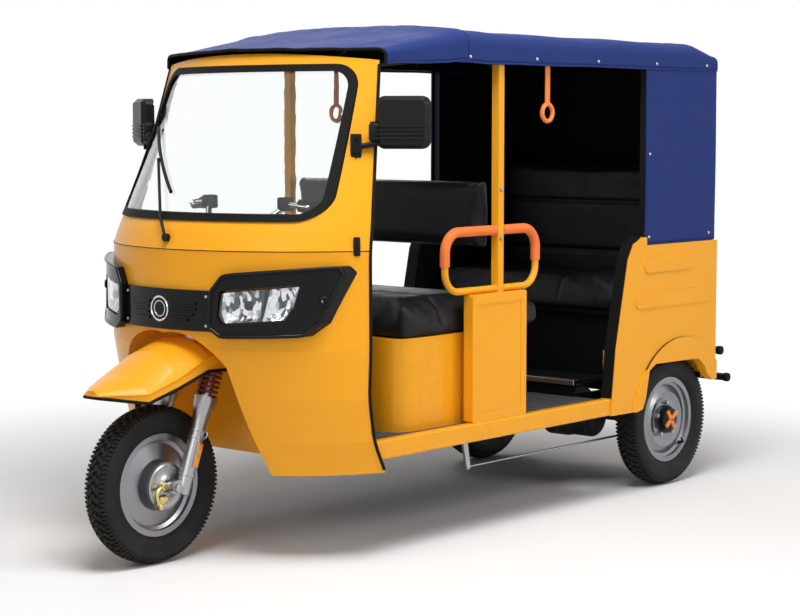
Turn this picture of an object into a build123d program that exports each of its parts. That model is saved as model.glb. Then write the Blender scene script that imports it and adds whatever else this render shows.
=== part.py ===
"""Electric passenger tricycle: a jointed three-wheeler, one STEP file for each piece.

Millimetres. +Z is up, the front looks along -Y, and +X is the vehicle's own left side.
The origin is on the ground, under the middle of the overall size.
"""
import os
from collections import namedtuple
from math import cos, radians, sin, sqrt

from build123d import *

# Overall sizes
OVERALL_LENGTH = 2950
WHEELBASE = 2268
REAR_TRACK = 900
TYRE_RADIUS = 257
TYRE_WIDTH = 98

# Clearances: faces that sit together, a shaft in its bore, and the rest of a moving piece
SEAT_GAP = 0.3
BORE_GAP = 0.05
RUN_GAP = 14

# Wheels
RIM_SEAT_RADIUS = 152
RIM_FLANGE_RADIUS = 167
RIM_HALF_WIDTH = 34
RIM_SHEET = 4
FRONT_AXLE_RADIUS = 10
REAR_SHAFT_RADIUS = 14
HUB_RADIUS = 42
DRUM_RADIUS = 88
FRONT_HUB_HALF = 62

FRONT_AXLE_Y = TYRE_RADIUS - OVERALL_LENGTH / 2
REAR_AXLE_Y = FRONT_AXLE_Y + WHEELBASE
AXLE_Z = TYRE_RADIUS
REAR_WHEEL_X = REAR_TRACK / 2

# Steering: the axis leans back, and the axle sits ahead of it
RAKE = 20
AXLE_LEAD = 50
LEG_X = 95
SLIDER_RADIUS = 25
SLIDER_TOP = 270
FORK_TUBE_RADIUS = 17
COLLAR_RADIUS = 36
COLLAR_HEIGHT = 22
SPRING_RADIUS = 37
YOKE_LOW = 415
YOKE_THICK = 25
YOKE_END_RADIUS = 26
STEM_RADIUS = 15
HEAD_TUBE_RADIUS = 27
HEAD_TUBE_LOW = 545
HEAD_TUBE_HIGH = 700
BAR_RADIUS = 11
BAR_AT = 844

# Cab
CAB_WALL = 25
SEAM_HEIGHT = 1015
SEAL_WIDTH = 24
SEAL_PROUD = 6
GLASS_THICK = 5
FASCIA_PROUD = 26
GRILLE_PROUD = 12
LENS_PROUD = 22

# Floor, sills and frame
SILL_LOW = 327
SILL_HIGH = 391
SILL_IN = 495
SILL_OUT = 532
FLOOR_TOP = 385
FLOOR_THICK = 15
RAIL_X = 280
RAIL_WIDTH = 40
RAIL_HIGH = FLOOR_TOP - FLOOR_THICK
RAIL_LOW = RAIL_HIGH - 60

# Rear body
QUARTER_FRONT = 1804
WALL_OUT = 540
WALL_THICK = 50
WALL_IN = WALL_OUT - WALL_THICK
WALL_TOP = 955
REAR_FACE = 2520
REAR_SHEET = 30
ARCH_RADIUS = TYRE_RADIUS + RUN_GAP + 7
ARCH_SKIN = 28
HOUSE_IN = 375
HOUSE_SHEET = 12
PLATFORM_TOP = 445
SEAT_TOP = 700

# Roof and posts
CANVAS = 4
CANOPY_HALF = 530
CANOPY_LOW = 1622
TUBE = 30
TUBE_OUT = CANOPY_HALF - CANVAS - SEAT_GAP
RAIL_BASE = 1628
POST_X = 500
POST_AT = 1160
PANEL_TOP = 834
LOOP_RADIUS = 12
GRIP_RADIUS = 17


def aft(distance):
    """Y of a place this far behind the front axle."""
    return FRONT_AXLE_Y + distance


# The steering frame: its z runs up the steering axis, its y towards the rear
steer_plane = Plane(
    origin=(0, aft(AXLE_LEAD), AXLE_Z),
    x_dir=(1, 0, 0),
    z_dir=(0, sin(radians(RAKE)), cos(radians(RAKE))),
)


def on_steer_axis(along, x=0, back=0):
    """Point in the vehicle frame for a place given along, beside and behind the steering axis."""
    return steer_plane.from_local_coords(Vector(x, back, along))


def finish(builder, label):
    """Name the piece and write its STEP file."""
    builder.part.label = label
    export_step(builder.part, f"parts/{label}.step")


def block(x0, x1, d0, d1, z0, z1, mode=Mode.ADD):
    """Box between two distances behind the front axle, in the running part builder."""
    with Locations(((x0 + x1) / 2, aft((d0 + d1) / 2), (z0 + z1) / 2)):
        Box(x1 - x0, d1 - d0, z1 - z0, mode=mode)


def rod(start, end, radius, mode=Mode.ADD):
    """Round bar between two points, in the running part builder."""
    line = Vector(*end) - Vector(*start)
    with BuildSketch(Plane(origin=start, z_dir=line)) as disc:
        Circle(radius)
    extrude(disc.sketch, amount=line.length, mode=mode)


def tube(points, bend, radius, mode=Mode.ADD):
    """Round bar bent along a line of points, in the running part builder."""
    with BuildLine() as path:
        FilletPolyline(*points, radius=bend)
    with BuildSketch(Plane(origin=path.line @ 0, z_dir=path.line % 0)) as disc:
        Circle(radius)
    sweep(disc.sketch, path=path.line, mode=mode)


os.makedirs("parts", exist_ok=True)

# Cab sections: plan outlines at rising heights, each one arc through the nose and both door edges
CabSection = namedtuple("CabSection", "height half_width nose door_edge")
COWL_SECTIONS = [
    CabSection(288, 545, 150, 520),
    CabSection(400, 562, 123, 448),
    CabSection(540, 572, 90, 414),
    CabSection(700, 580, 52, 412),
    CabSection(SEAM_HEIGHT, 578, 58, 412),
]
SCREEN_SECTIONS = [
    CabSection(SEAM_HEIGHT + SEAT_GAP, 578, 58, 412),
    CabSection(1075, 571, 85, 428),
    CabSection(1655, 488, 439, 560),
]


def plan_radius(section):
    """Radius of a cab section's arc."""
    depth = section.door_edge - section.nose
    return (section.half_width ** 2 + depth ** 2) / (2 * depth)


def cab_loft(sections, grow=0, back=0, mode=Mode.ADD):
    """Loft the cab outline, grown outwards and drawn out backwards, into the running part builder."""
    outlines = []
    for section in sections:
        radius = plan_radius(section)
        hollow = radius - (section.door_edge - section.nose)
        x = sqrt((radius + grow) ** 2 - hollow ** 2)
        y = aft(section.door_edge)
        rear = [(x, y), (x, y + back), (-x, y + back), (-x, y)] if back else [(x, y), (-x, y)]
        with BuildSketch(Plane.XY.offset(section.height)) as outline:
            with BuildLine():
                ThreePointArc((-x, y), (0, aft(section.nose) - grow), (x, y))
                Polyline(*rear)
            make_face()
        outlines.append(outline.sketch.face())
    loft(outlines, ruled=True, mode=mode)


def screen_point(x, height, out):
    """Point at this width and height, moved out from the windscreen."""
    low, high = SCREEN_SECTIONS[1:]
    share = (height - low.height) / (high.height - low.height)
    section = CabSection(*[start + share * (end - start) for start, end in zip(low, high)])
    radius = plan_radius(section)
    reach = (radius + out) / radius
    return (x * reach, aft(section.nose + radius - reach * sqrt(radius ** 2 - x ** 2)), height)


def arch_outline(grow=0):
    """Front wheel opening seen from the front, as a flat sketch to add."""
    crown = (0, 745 + grow)
    haunch = (235 + 0.9 * grow, 642 + 0.4 * grow)
    between = (160 + 0.5 * grow, 718 + 0.85 * grow)
    knee = (262 + grow, 490)
    foot = (312 + grow, 270)
    with BuildSketch() as outline:
        with BuildLine():
            ThreePointArc(crown, between, haunch)
            Polyline(haunch, knee, foot, (0, foot[1]))
            mirror(about=Plane.YZ)
        make_face()
    return outline.sketch


# Lower cab shell with the front wheel opening
with BuildPart() as front_cowl:
    cab_loft(COWL_SECTIONS)
    cab_loft(COWL_SECTIONS, grow=-CAB_WALL, back=80, mode=Mode.SUBTRACT)
    with BuildSketch(Plane.XZ.offset(-aft(0))):
        add(arch_outline())
    extrude(amount=-330, mode=Mode.SUBTRACT)
finish(front_cowl, "front_cowl")

# Wheel well behind the opening, with a round hole for the steering head
WELL_SHEET = 10
WELL_BACK = 470
with BuildPart() as wheel_well:
    with BuildSketch(Plane.XZ.offset(-aft(60))):
        add(arch_outline(WELL_SHEET))
        add(arch_outline(), mode=Mode.SUBTRACT)
        with Locations((0, 270)):
            Rectangle(900, 60, mode=Mode.SUBTRACT)
    extrude(amount=-(WELL_BACK - 60))
    with BuildSketch(Plane.XZ.offset(-aft(WELL_BACK - WELL_SHEET))):
        add(arch_outline(WELL_SHEET))
        with Locations((0, 270)):
            Rectangle(900, 60, mode=Mode.SUBTRACT)
    extrude(amount=-WELL_SHEET)
    cab_loft(COWL_SECTIONS, grow=-CAB_WALL - SEAT_GAP, back=120, mode=Mode.INTERSECT)
    with BuildSketch(steer_plane.offset(440)):
        Circle(62)
    extrude(amount=140, mode=Mode.SUBTRACT)
finish(wheel_well, "wheel_well")


def screen_outline(inset=0):
    """Windscreen opening seen from the front, as a flat sketch to add."""
    with BuildSketch() as outline:
        with BuildLine():
            FilletPolyline(
                (-488, 1107), (488, 1107), (445, 1609), (-445, 1609), radius=(80, 80, 85, 85), close=True,
            )
        make_face()
        if inset:
            offset(amount=-inset, mode=Mode.REPLACE)
    return outline.sketch


# Upper cab shell, raked back, with the windscreen opening and a crowned top edge
with BuildPart() as windscreen_surround:
    cab_loft(SCREEN_SECTIONS)
    cab_loft(SCREEN_SECTIONS, grow=-CAB_WALL, back=80, mode=Mode.SUBTRACT)
    with BuildSketch(Plane.XZ):
        add(screen_outline())
    extrude(amount=2000, both=True, mode=Mode.SUBTRACT)
    with BuildSketch(Plane.XZ):
        with BuildLine():
            ThreePointArc((-560, 1612), (0, 1646), (560, 1612))
            Polyline((560, 1612), (560, 1700), (-560, 1700), (-560, 1612))
        make_face()
    extrude(amount=2000, both=True, mode=Mode.SUBTRACT)
finish(windscreen_surround, "windscreen_surround")

# Rubber seal round the glass
with BuildPart() as windscreen_seal:
    with BuildSketch(Plane.XZ):
        add(screen_outline(SEAT_GAP))
        add(screen_outline(SEAL_WIDTH), mode=Mode.SUBTRACT)
    extrude(amount=2000, both=True)
    cab_loft(SCREEN_SECTIONS, grow=SEAL_PROUD, mode=Mode.INTERSECT)
    cab_loft(SCREEN_SECTIONS, grow=-14, back=80, mode=Mode.SUBTRACT)
finish(windscreen_seal, "windscreen_seal")

with BuildPart() as windscreen_glass:
    with BuildSketch(Plane.XZ):
        add(screen_outline(SEAL_WIDTH + SEAT_GAP))
    extrude(amount=2000, both=True)
    cab_loft(SCREEN_SECTIONS, grow=-1, mode=Mode.INTERSECT)
    cab_loft(SCREEN_SECTIONS, grow=-1 - GLASS_THICK, back=80, mode=Mode.SUBTRACT)
finish(windscreen_glass, "windscreen_glass")

# Black front panel: two lamp pods joined by a lower louvred bar
POD_POINTS = [
    (201, 770), (207, 890), (248, 943), (545, 971), (558, 948), (510, 790), (472, 749), (242, 742),
]
LENS_POINTS = [(241, 890), (463, 914), (447, 842), (423, 797), (249, 784), (232, 812)]


def lamp_outline(points, round_by, inset=0):
    """Lamp shape on both sides, seen from the front, as a flat sketch to add."""
    with BuildSketch() as outline:
        with BuildLine():
            FilletPolyline(*points, radius=round_by, close=True)
        make_face()
        if inset:
            offset(amount=-inset, mode=Mode.REPLACE)
        mirror(about=Plane.YZ)
    return outline.sketch


with BuildPart() as grille_bar:
    with BuildSketch(Plane.XZ):
        with Locations((0, 824)):
            Rectangle(430, 130)
    extrude(amount=2000, both=True)
    cab_loft(COWL_SECTIONS, grow=GRILLE_PROUD, mode=Mode.INTERSECT)
    cab_loft(COWL_SECTIONS, grow=SEAT_GAP, back=80, mode=Mode.SUBTRACT)

with BuildPart() as headlamp_fascia:
    with BuildSketch(Plane.XZ):
        add(lamp_outline(POD_POINTS, 12))
        add(lamp_outline(LENS_POINTS, 10), mode=Mode.SUBTRACT)
    extrude(amount=2000, both=True)
    cab_loft(COWL_SECTIONS, grow=FASCIA_PROUD, mode=Mode.INTERSECT)
    cab_loft(COWL_SECTIONS, grow=SEAT_GAP, back=80, mode=Mode.SUBTRACT)
    add(grille_bar.part)
finish(headlamp_fascia, "headlamp_fascia")

with BuildPart() as headlamps:
    with BuildSketch(Plane.XZ):
        add(lamp_outline(LENS_POINTS, 10, SEAT_GAP))
    extrude(amount=2000, both=True)
    cab_loft(COWL_SECTIONS, grow=LENS_PROUD, mode=Mode.INTERSECT)
    cab_loft(COWL_SECTIONS, grow=SEAT_GAP, back=80, mode=Mode.SUBTRACT)
finish(headlamps, "headlamps")

# Dashboard shelf with a notch for the stem and an instrument pod
DASH_BACK = 335
with BuildPart() as dashboard:
    cab_loft(COWL_SECTIONS, grow=-CAB_WALL - SEAT_GAP)
    with BuildSketch(Plane.XY.offset(930)):
        with Locations((0, aft(DASH_BACK / 2))):
            Rectangle(1300, DASH_BACK)
    extrude(amount=55, mode=Mode.INTERSECT)
    block(-95, 95, 180, 255, 985, 1075)
    with BuildSketch(steer_plane.offset(HEAD_TUBE_HIGH - 60)):
        Circle(HEAD_TUBE_RADIUS + RUN_GAP)
    extrude(amount=200, mode=Mode.SUBTRACT)
finish(dashboard, "dashboard")

# Wiper: pivot, arm and blade, parked across the driver's far half of the glass
BLADE_OUT = 9
BLADE_RADIUS = 6
WIPER_JOINT = (-206, 1297)
with BuildPart() as wiper:
    with BuildSketch(Plane.XZ.offset(-aft(54))):
        with Locations((10, 1052)):
            Circle(13)
    extrude(amount=-14.2)
    tube([(10, aft(58), 1052), screen_point(-45, 1115, 22), screen_point(*WIPER_JOINT, 20)], 20, 5)
    rod(screen_point(*WIPER_JOINT, BLADE_OUT), screen_point(*WIPER_JOINT, 24), 5)
    with BuildLine() as blade:
        ThreePointArc(
            screen_point(-350, 1401, BLADE_OUT), screen_point(*WIPER_JOINT, BLADE_OUT),
            screen_point(-62, 1194, BLADE_OUT),
        )
    with BuildSketch(Plane(origin=blade.line @ 0, z_dir=blade.line % 0)) as blade_end:
        Circle(BLADE_RADIUS)
    sweep(blade_end.sketch, path=blade.line)
finish(wiper, "wiper")

# Mirrors: boss on the screen pillar, short arm and shell turned to the driver
MIRROR_CENTRE = (615, aft(530), 1420)
MIRROR_TOE = 30
BOSS_AT = (489, 1342)
mirror_plane = Plane(
    origin=MIRROR_CENTRE,
    x_dir=(cos(radians(MIRROR_TOE)), sin(radians(MIRROR_TOE)), 0),
    z_dir=(sin(radians(MIRROR_TOE)), -cos(radians(MIRROR_TOE)), 0),
)
with BuildPart() as mirrors:
    rod(screen_point(*BOSS_AT, -12), screen_point(*BOSS_AT, 22), 17)
    cab_loft(SCREEN_SECTIONS, grow=SEAT_GAP, back=80, mode=Mode.SUBTRACT)
    rod(screen_point(*BOSS_AT, 12), (585, aft(513), 1362), 9)
    with BuildSketch(mirror_plane.offset(-18)):
        RectangleRounded(172, 168, 28)
    extrude(amount=30)
    with BuildSketch(mirror_plane.offset(11)):
        RectangleRounded(172, 168, 28)
    extrude(amount=16, taper=40)
    mirror(about=Plane.YZ)
finish(mirrors, "mirrors")

with BuildPart() as mirror_glasses:
    with BuildSketch(mirror_plane.offset(-18 - SEAT_GAP)):
        RectangleRounded(156, 152, 22)
    extrude(amount=-3)
    mirror(about=Plane.YZ)
finish(mirror_glasses, "mirror_glasses")

# Ladder frame with the steering head and its down tubes
OUTRIGGERS = (640, 1230, 1700)
CROSS_MEMBERS = (520, 900, 1480, 1850, 2440)
LEAF_X = 350
LEAF_HALF_WIDTH = 22
LEAF_HALF_SPAN = 300
with BuildPart() as chassis_frame:
    for x in (-RAIL_X, RAIL_X):
        block(x - RAIL_WIDTH / 2, x + RAIL_WIDTH / 2, 485, 2590, RAIL_LOW, RAIL_HIGH)
    for place in CROSS_MEMBERS:
        block(-RAIL_X, RAIL_X, place - 20, place + 20, RAIL_LOW + 10, RAIL_HIGH)
    for place in OUTRIGGERS:
        block(-SILL_IN + SEAT_GAP, SILL_IN - SEAT_GAP, place - 20, place + 20, RAIL_LOW + 20, RAIL_HIGH)
    for place in (WHEELBASE - LEAF_HALF_SPAN, WHEELBASE + LEAF_HALF_SPAN):
        for side in (-1, 1):
            low = min(side * RAIL_X, side * (LEAF_X - LEAF_HALF_WIDTH - SEAT_GAP))
            high = max(side * RAIL_X, side * (LEAF_X - LEAF_HALF_WIDTH - SEAT_GAP))
            block(low, high, place - 18, place + 18, RAIL_LOW, RAIL_HIGH)
    rod(on_steer_axis(HEAD_TUBE_LOW), on_steer_axis(HEAD_TUBE_HIGH), HEAD_TUBE_RADIUS)
    for side in (-1, 1):
        tube(
            [
                on_steer_axis(620, side * 8), (side * 120, aft(505), 800),
                (side * 120, aft(505), RAIL_HIGH - 30),
            ],
            40, 16,
        )
    rod(
        on_steer_axis(HEAD_TUBE_LOW - 5), on_steer_axis(HEAD_TUBE_HIGH + 5),
        STEM_RADIUS + BORE_GAP, Mode.SUBTRACT,
    )
finish(chassis_frame, "chassis_frame")

# Floor sheet, with wings beside the wheel well
FLOOR_HALF = SILL_IN - SEAT_GAP
FLOOR_END = QUARTER_FRONT - SEAT_GAP
with BuildPart() as floor_panel:
    with BuildSketch(Plane.XY.offset(FLOOR_TOP - FLOOR_THICK)):
        with BuildLine():
            Polyline(
                (0, aft(WELL_BACK + 1)), (330, aft(WELL_BACK + 1)), (330, aft(330)), (398, aft(330)),
                (FLOOR_HALF, aft(440)), (FLOOR_HALF, aft(FLOOR_END)), (0, aft(FLOOR_END)), close=True,
            )
        make_face()
        mirror(about=Plane.YZ)
    extrude(amount=FLOOR_THICK)
    with BuildSketch(Plane.XY.offset(FLOOR_TOP - FLOOR_THICK)):
        with Locations((120, aft(505)), (-120, aft(505))):
            Circle(16 + 1)
    extrude(amount=FLOOR_THICK, mode=Mode.SUBTRACT)
finish(floor_panel, "floor_panel")

# Sills along the door openings, cut in front to the cab's rear edge
SILL_FRONT = 462
with BuildPart() as sills:
    with BuildSketch(Plane.XZ.offset(-aft(SILL_FRONT))):
        with Locations(((SILL_IN + SILL_OUT) / 2, (SILL_LOW + SILL_HIGH) / 2)):
            RectangleRounded(SILL_OUT - SILL_IN, SILL_HIGH - SILL_LOW, 8)
    extrude(amount=-(QUARTER_FRONT - SEAT_GAP - SILL_FRONT))
    cab_loft(COWL_SECTIONS, grow=SEAT_GAP, back=SEAT_GAP, mode=Mode.SUBTRACT)
    mirror(about=Plane.YZ)
finish(sills, "sills")

# Driver's bench: box with the battery in it, two cushions and a padded back board
BOX_HALF = 460
BOX_FRONT = 680
BOX_BACK = 1300
BOX_SHEET = 20
BOX_ROUND = 95
with BuildPart() as seat_box:
    for inset, mode in ((0, Mode.ADD), (BOX_SHEET, Mode.SUBTRACT)):
        with BuildSketch(Plane.XY.offset(FLOOR_TOP)):
            with Locations((0, aft((BOX_FRONT + BOX_BACK) / 2))):
                RectangleRounded(2 * (BOX_HALF - inset), BOX_BACK - BOX_FRONT - 2 * inset, BOX_ROUND - inset)
        extrude(amount=SEAT_TOP - FLOOR_TOP - inset, mode=mode)
finish(seat_box, "seat_box")

with BuildPart() as battery_pack:
    block(-360, 360, 770, 1210, FLOOR_TOP, FLOOR_TOP + 235)
finish(battery_pack, "battery_pack")

Cushion = namedtuple("Cushion", "half_width front back low high")
BENCH_CUSHIONS = [
    Cushion(480, 690, 1115, SEAT_TOP + SEAT_GAP, 822),
    Cushion(480, 1195, 1457, SEAT_TOP + SEAT_GAP, 790),
]
with BuildPart() as bench_cushions:
    for pad in BENCH_CUSHIONS:
        block(-pad.half_width, pad.half_width, pad.front, pad.back, pad.low, pad.high)
    fillet(bench_cushions.edges(), radius=18)
finish(bench_cushions, "bench_cushions")

BOARD_HALF = 450
with BuildPart() as driver_backrest:
    with BuildSketch(Plane.XZ.offset(-aft(1138))):
        with Locations((0, 1100)):
            RectangleRounded(2 * BOARD_HALF, 248, 40)
    extrude(amount=-44)
    strap_half = POST_X - TUBE / 2 - SEAT_GAP
    for height in (1030, 1175):
        block(-strap_half, strap_half, 1156, 1164, height - 20, height + 20)
finish(driver_backrest, "driver_backrest")

# Door posts with their grab loops, the boxed panels they stand on, and the foam grips
PANEL_FRONT = 992
PANEL_BACK = 1293
PANEL_IN = 487
PANEL_OUT = 527
with BuildPart() as post_panels:
    block(PANEL_IN, PANEL_OUT, PANEL_FRONT, PANEL_BACK, SILL_HIGH, PANEL_TOP)
    fillet(post_panels.edges().filter_by(Axis.X), radius=10)
    block(
        PANEL_OUT - 3, PANEL_OUT, PANEL_FRONT + 30, PANEL_BACK - 30,
        SILL_HIGH + 35, PANEL_TOP - 35, Mode.SUBTRACT,
    )
    mirror(about=Plane.YZ)
finish(post_panels, "post_panels")

LOOP_FRONT = 874
LOOP_BACK = 1376
LOOP_LOW = PANEL_TOP + LOOP_RADIUS + SEAT_GAP
LOOP_HIGH = 1049
LOOP_BEND = 70
with BuildPart() as door_posts:
    block(POST_X - TUBE / 2, POST_X + TUBE / 2, POST_AT - TUBE / 2, POST_AT + TUBE / 2, PANEL_TOP, RAIL_BASE)
    tube(
        [
            (POST_X, aft(POST_AT), LOOP_LOW), (POST_X, aft(LOOP_FRONT), LOOP_LOW),
            (POST_X, aft(LOOP_FRONT), LOOP_HIGH), (POST_X, aft(POST_AT), LOOP_HIGH),
        ],
        LOOP_BEND, LOOP_RADIUS,
    )
    tube(
        [
            (POST_X, aft(POST_AT), LOOP_LOW), (POST_X, aft(LOOP_BACK), LOOP_LOW),
            (POST_X, aft(LOOP_BACK), LOOP_HIGH), (POST_X, aft(POST_AT), LOOP_HIGH),
        ],
        LOOP_BEND, LOOP_RADIUS,
    )
    mirror(about=Plane.YZ)
finish(door_posts, "door_posts")

with BuildPart() as grab_grips:
    for outer, inner in ((LOOP_FRONT, POST_AT - TUBE / 2 - 2), (LOOP_BACK, POST_AT + TUBE / 2 + 2)):
        for radius, mode in ((GRIP_RADIUS, Mode.ADD), (LOOP_RADIUS + SEAT_GAP, Mode.SUBTRACT)):
            tube(
                [
                    (POST_X, aft(outer), LOOP_HIGH - 115), (POST_X, aft(outer), LOOP_HIGH),
                    (POST_X, aft(inner), LOOP_HIGH),
                ],
                LOOP_BEND, radius, mode,
            )
    mirror(about=Plane.YZ)
finish(grab_grips, "grab_grips")

# Roof tubes: side rails, bows and the uprights of the rear body
BOWS = (930, 1420, 1900, 2370)
UPRIGHTS = (2050, 2455)
BOW_RADIUS = 12
with BuildPart() as roof_frame:
    for side in (1, -1):
        low = min(side * TUBE_OUT, side * (TUBE_OUT - TUBE))
        high = max(side * TUBE_OUT, side * (TUBE_OUT - TUBE))
        block(low, high, BOWS[0], UPRIGHTS[-1] + TUBE / 2, RAIL_BASE, RAIL_BASE + TUBE)
        rod((side * 505, aft(BOWS[0]), RAIL_BASE + TUBE / 2), (side * 476, aft(553.5), 1608), BOW_RADIUS - 1)
        for place in UPRIGHTS:
            block(low, high, place - TUBE / 2, place + TUBE / 2, WALL_TOP, RAIL_BASE)
    for place in BOWS:
        tube(
            [
                (505, aft(place), 1640), (497, aft(place), 1684), (445, aft(place), 1708),
                (0, aft(place), 1724),
                (-445, aft(place), 1708), (-497, aft(place), 1684), (-505, aft(place), 1640),
            ],
            20, BOW_RADIUS,
        )
finish(roof_frame, "roof_frame")

# Canvas roof: cross-sections from front to back, trimmed in front to the bow of the cab
CanopySection = namedtuple("CanopySection", "at half_width low side shoulder_x shoulder top")
CANOPY_SECTIONS = [
    CanopySection(400, 508, 1600, 1614, 494, 1624, 1655),
    CanopySection(930, CANOPY_HALF, CANOPY_LOW, 1690, 455, 1730, 1748),
    CanopySection(2380, CANOPY_HALF, CANOPY_LOW, 1685, 455, 1726, 1743),
    CanopySection(2516, CANOPY_HALF, CANOPY_LOW, 1655, 498, 1676, 1692),
]


def canopy_loft(grow, drop, ends, mode):
    """Loft the canvas roof sections, grown outwards, into the running part builder."""
    outlines = []
    for number, section in enumerate(CANOPY_SECTIONS):
        half = section.half_width + grow
        shift = {0: -ends, len(CANOPY_SECTIONS) - 1: grow}.get(number, 0)
        hip = (section.shoulder_x + 0.5 * grow, section.shoulder + grow)
        flank = (half, section.side)
        swell_x = (hip[0] + flank[0]) / 2 + 0.16 * (flank[0] - hip[0])
        swell = (swell_x, (hip[1] + flank[1]) / 2 + 0.2 * (hip[1] - flank[1]))
        with BuildSketch(Plane.XZ.offset(-aft(section.at + shift))) as outline:
            with BuildLine():
                Line((half, section.low - drop), flank)
                ThreePointArc(flank, swell, hip)
                ThreePointArc(hip, (0, section.top + grow), (-hip[0], hip[1]))
                ThreePointArc((-hip[0], hip[1]), (-swell[0], swell[1]), (-flank[0], flank[1]))
                Line((-flank[0], flank[1]), (-half, section.low - drop))
                Line((-half, section.low - drop), (half, section.low - drop))
            make_face()
        outlines.append(outline.sketch.face())
    loft(outlines, ruled=True, mode=mode)


with BuildPart() as canopy_roof:
    canopy_loft(0, 0, 0, Mode.ADD)
    canopy_loft(-CANVAS, 10, 20, Mode.SUBTRACT)
    with BuildSketch(Plane.XY.offset(1550)):
        with BuildLine():
            ThreePointArc((-560, aft(588)), (0, aft(422)), (560, aft(588)))
            Polyline((560, aft(588)), (560, aft(2600)), (-560, aft(2600)), (-560, aft(588)))
        make_face()
    extrude(amount=300, mode=Mode.INTERSECT)
finish(canopy_roof, "canopy_roof")

# Canvas curtains round the rear seat
CURTAIN_FRONT = 2027
with BuildPart() as canopy_curtains:
    with BuildSketch(Plane.XY.offset(WALL_TOP + SEAT_GAP)):
        with BuildLine():
            FilletPolyline(
                (CANOPY_HALF, aft(CURTAIN_FRONT)), (CANOPY_HALF, aft(2516)), (-CANOPY_HALF, aft(2516)),
                (-CANOPY_HALF, aft(CURTAIN_FRONT)), radius=16,
            )
            Line((-CANOPY_HALF, aft(CURTAIN_FRONT)), (-CANOPY_HALF + CANVAS, aft(CURTAIN_FRONT)))
            FilletPolyline(
                (-CANOPY_HALF + CANVAS, aft(CURTAIN_FRONT)), (-CANOPY_HALF + CANVAS, aft(2516 - CANVAS)),
                (CANOPY_HALF - CANVAS, aft(2516 - CANVAS)), (CANOPY_HALF - CANVAS, aft(CURTAIN_FRONT)),
                radius=12,
            )
            Line((CANOPY_HALF - CANVAS, aft(CURTAIN_FRONT)), (CANOPY_HALF, aft(CURTAIN_FRONT)))
        make_face()
    extrude(amount=CANOPY_LOW - WALL_TOP - 2 * SEAT_GAP)
finish(canopy_curtains, "canopy_curtains")

# Hand straps with rings
STRAP_AT = 1430
RING_HEIGHT = 1454
RING_RADIUS = 30
RING_WIRE = 8
with BuildPart() as hand_straps:
    block(508, 511, STRAP_AT - 13, STRAP_AT + 13, RING_HEIGHT + RING_RADIUS, RAIL_BASE)
    with Locations(Location((509.5, aft(STRAP_AT), RING_HEIGHT), (0, 90, 0))):
        Torus(RING_RADIUS, RING_WIRE)
    mirror(about=Plane.YZ)
finish(hand_straps, "hand_straps")

# Rear quarter walls with the wheel opening, wheel housing, arch flare and pressed ribs
QUARTER_POINTS = [
    (QUARTER_FRONT, SILL_LOW), (QUARTER_FRONT, SILL_HIGH + 1), (1826, 578), (1859, 727),
    (1899, 906), (1932, 962), (1985, 986), (2025, 986),
    (2025, WALL_TOP), (REAR_FACE, WALL_TOP), (REAR_FACE, 400), (2489, 398), (2451, 427), (2428, 462),
    (2386, 493), (2086, 498), (2043, 476), (2017, 364), (1998, 332), (1964, 325),
]


def quarter_outline():
    """Side outline of the quarter wall, as a flat sketch to add."""
    with BuildSketch() as outline:
        with BuildLine():
            Polyline(*[(aft(d), z) for d, z in QUARTER_POINTS], close=True)
        make_face()
    return outline.sketch


with BuildPart() as quarter_panels:
    with BuildSketch(Plane.YZ.offset(WALL_IN)):
        add(quarter_outline())
    extrude(amount=WALL_THICK)
    with BuildSketch(Plane.YZ.offset(WALL_OUT)):
        add(quarter_outline())
        with Locations((REAR_AXLE_Y, AXLE_Z)):
            Circle(330, mode=Mode.INTERSECT)
    extrude(amount=7)
    block(HOUSE_IN, WALL_IN, 1978, REAR_FACE - REAR_SHEET - SEAT_GAP, 400, AXLE_Z + ARCH_RADIUS + HOUSE_SHEET)
    with BuildSketch(Plane.YZ.offset(HOUSE_IN + HOUSE_SHEET)):
        with Locations((REAR_AXLE_Y, AXLE_Z)):
            Circle(ARCH_RADIUS)
    extrude(amount=WALL_OUT - ARCH_SKIN - HOUSE_IN - HOUSE_SHEET, mode=Mode.SUBTRACT)
    with BuildSketch(Plane.YZ.offset(WALL_OUT)):
        with Locations((aft(2210), 745)):
            SlotOverall(520, 60)
        with Locations((aft(2170), 880)):
            SlotOverall(330, 60)
    extrude(amount=4)
    mirror(about=Plane.YZ)
finish(quarter_panels, "quarter_panels")

TRIM_THICK = 4
FRONT_EDGE = QUARTER_POINTS[1:7]
with BuildPart() as quarter_edge_trims:
    with BuildSketch(Plane.YZ.offset(WALL_IN + 2)):
        with BuildLine():
            Polyline(
                *[(aft(d - SEAT_GAP), z + SEAT_GAP) for d, z in FRONT_EDGE],
                *[(aft(d - TRIM_THICK), z + TRIM_THICK) for d, z in reversed(FRONT_EDGE)], close=True,
            )
        make_face()
    extrude(amount=WALL_THICK - 4)
    mirror(about=Plane.YZ)
finish(quarter_edge_trims, "quarter_edge_trims")

# Rear panel with two holes for a number plate, tail lamps and the tube bumper
PLATE_HOLE_RADIUS = 3.5
PLATE_HOLE_SPACING = 140
PLATE_HEIGHT = 640
with BuildPart() as rear_panel:
    half = WALL_IN - SEAT_GAP
    block(-half, half, REAR_FACE - REAR_SHEET, REAR_FACE, 402, WALL_TOP - SEAT_GAP)
    with BuildSketch(Plane.XZ.offset(-aft(REAR_FACE))):
        with Locations((-PLATE_HOLE_SPACING / 2, PLATE_HEIGHT), (PLATE_HOLE_SPACING / 2, PLATE_HEIGHT)):
            Circle(PLATE_HOLE_RADIUS)
    extrude(amount=REAR_SHEET, both=True, mode=Mode.SUBTRACT)
finish(rear_panel, "rear_panel")

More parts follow.
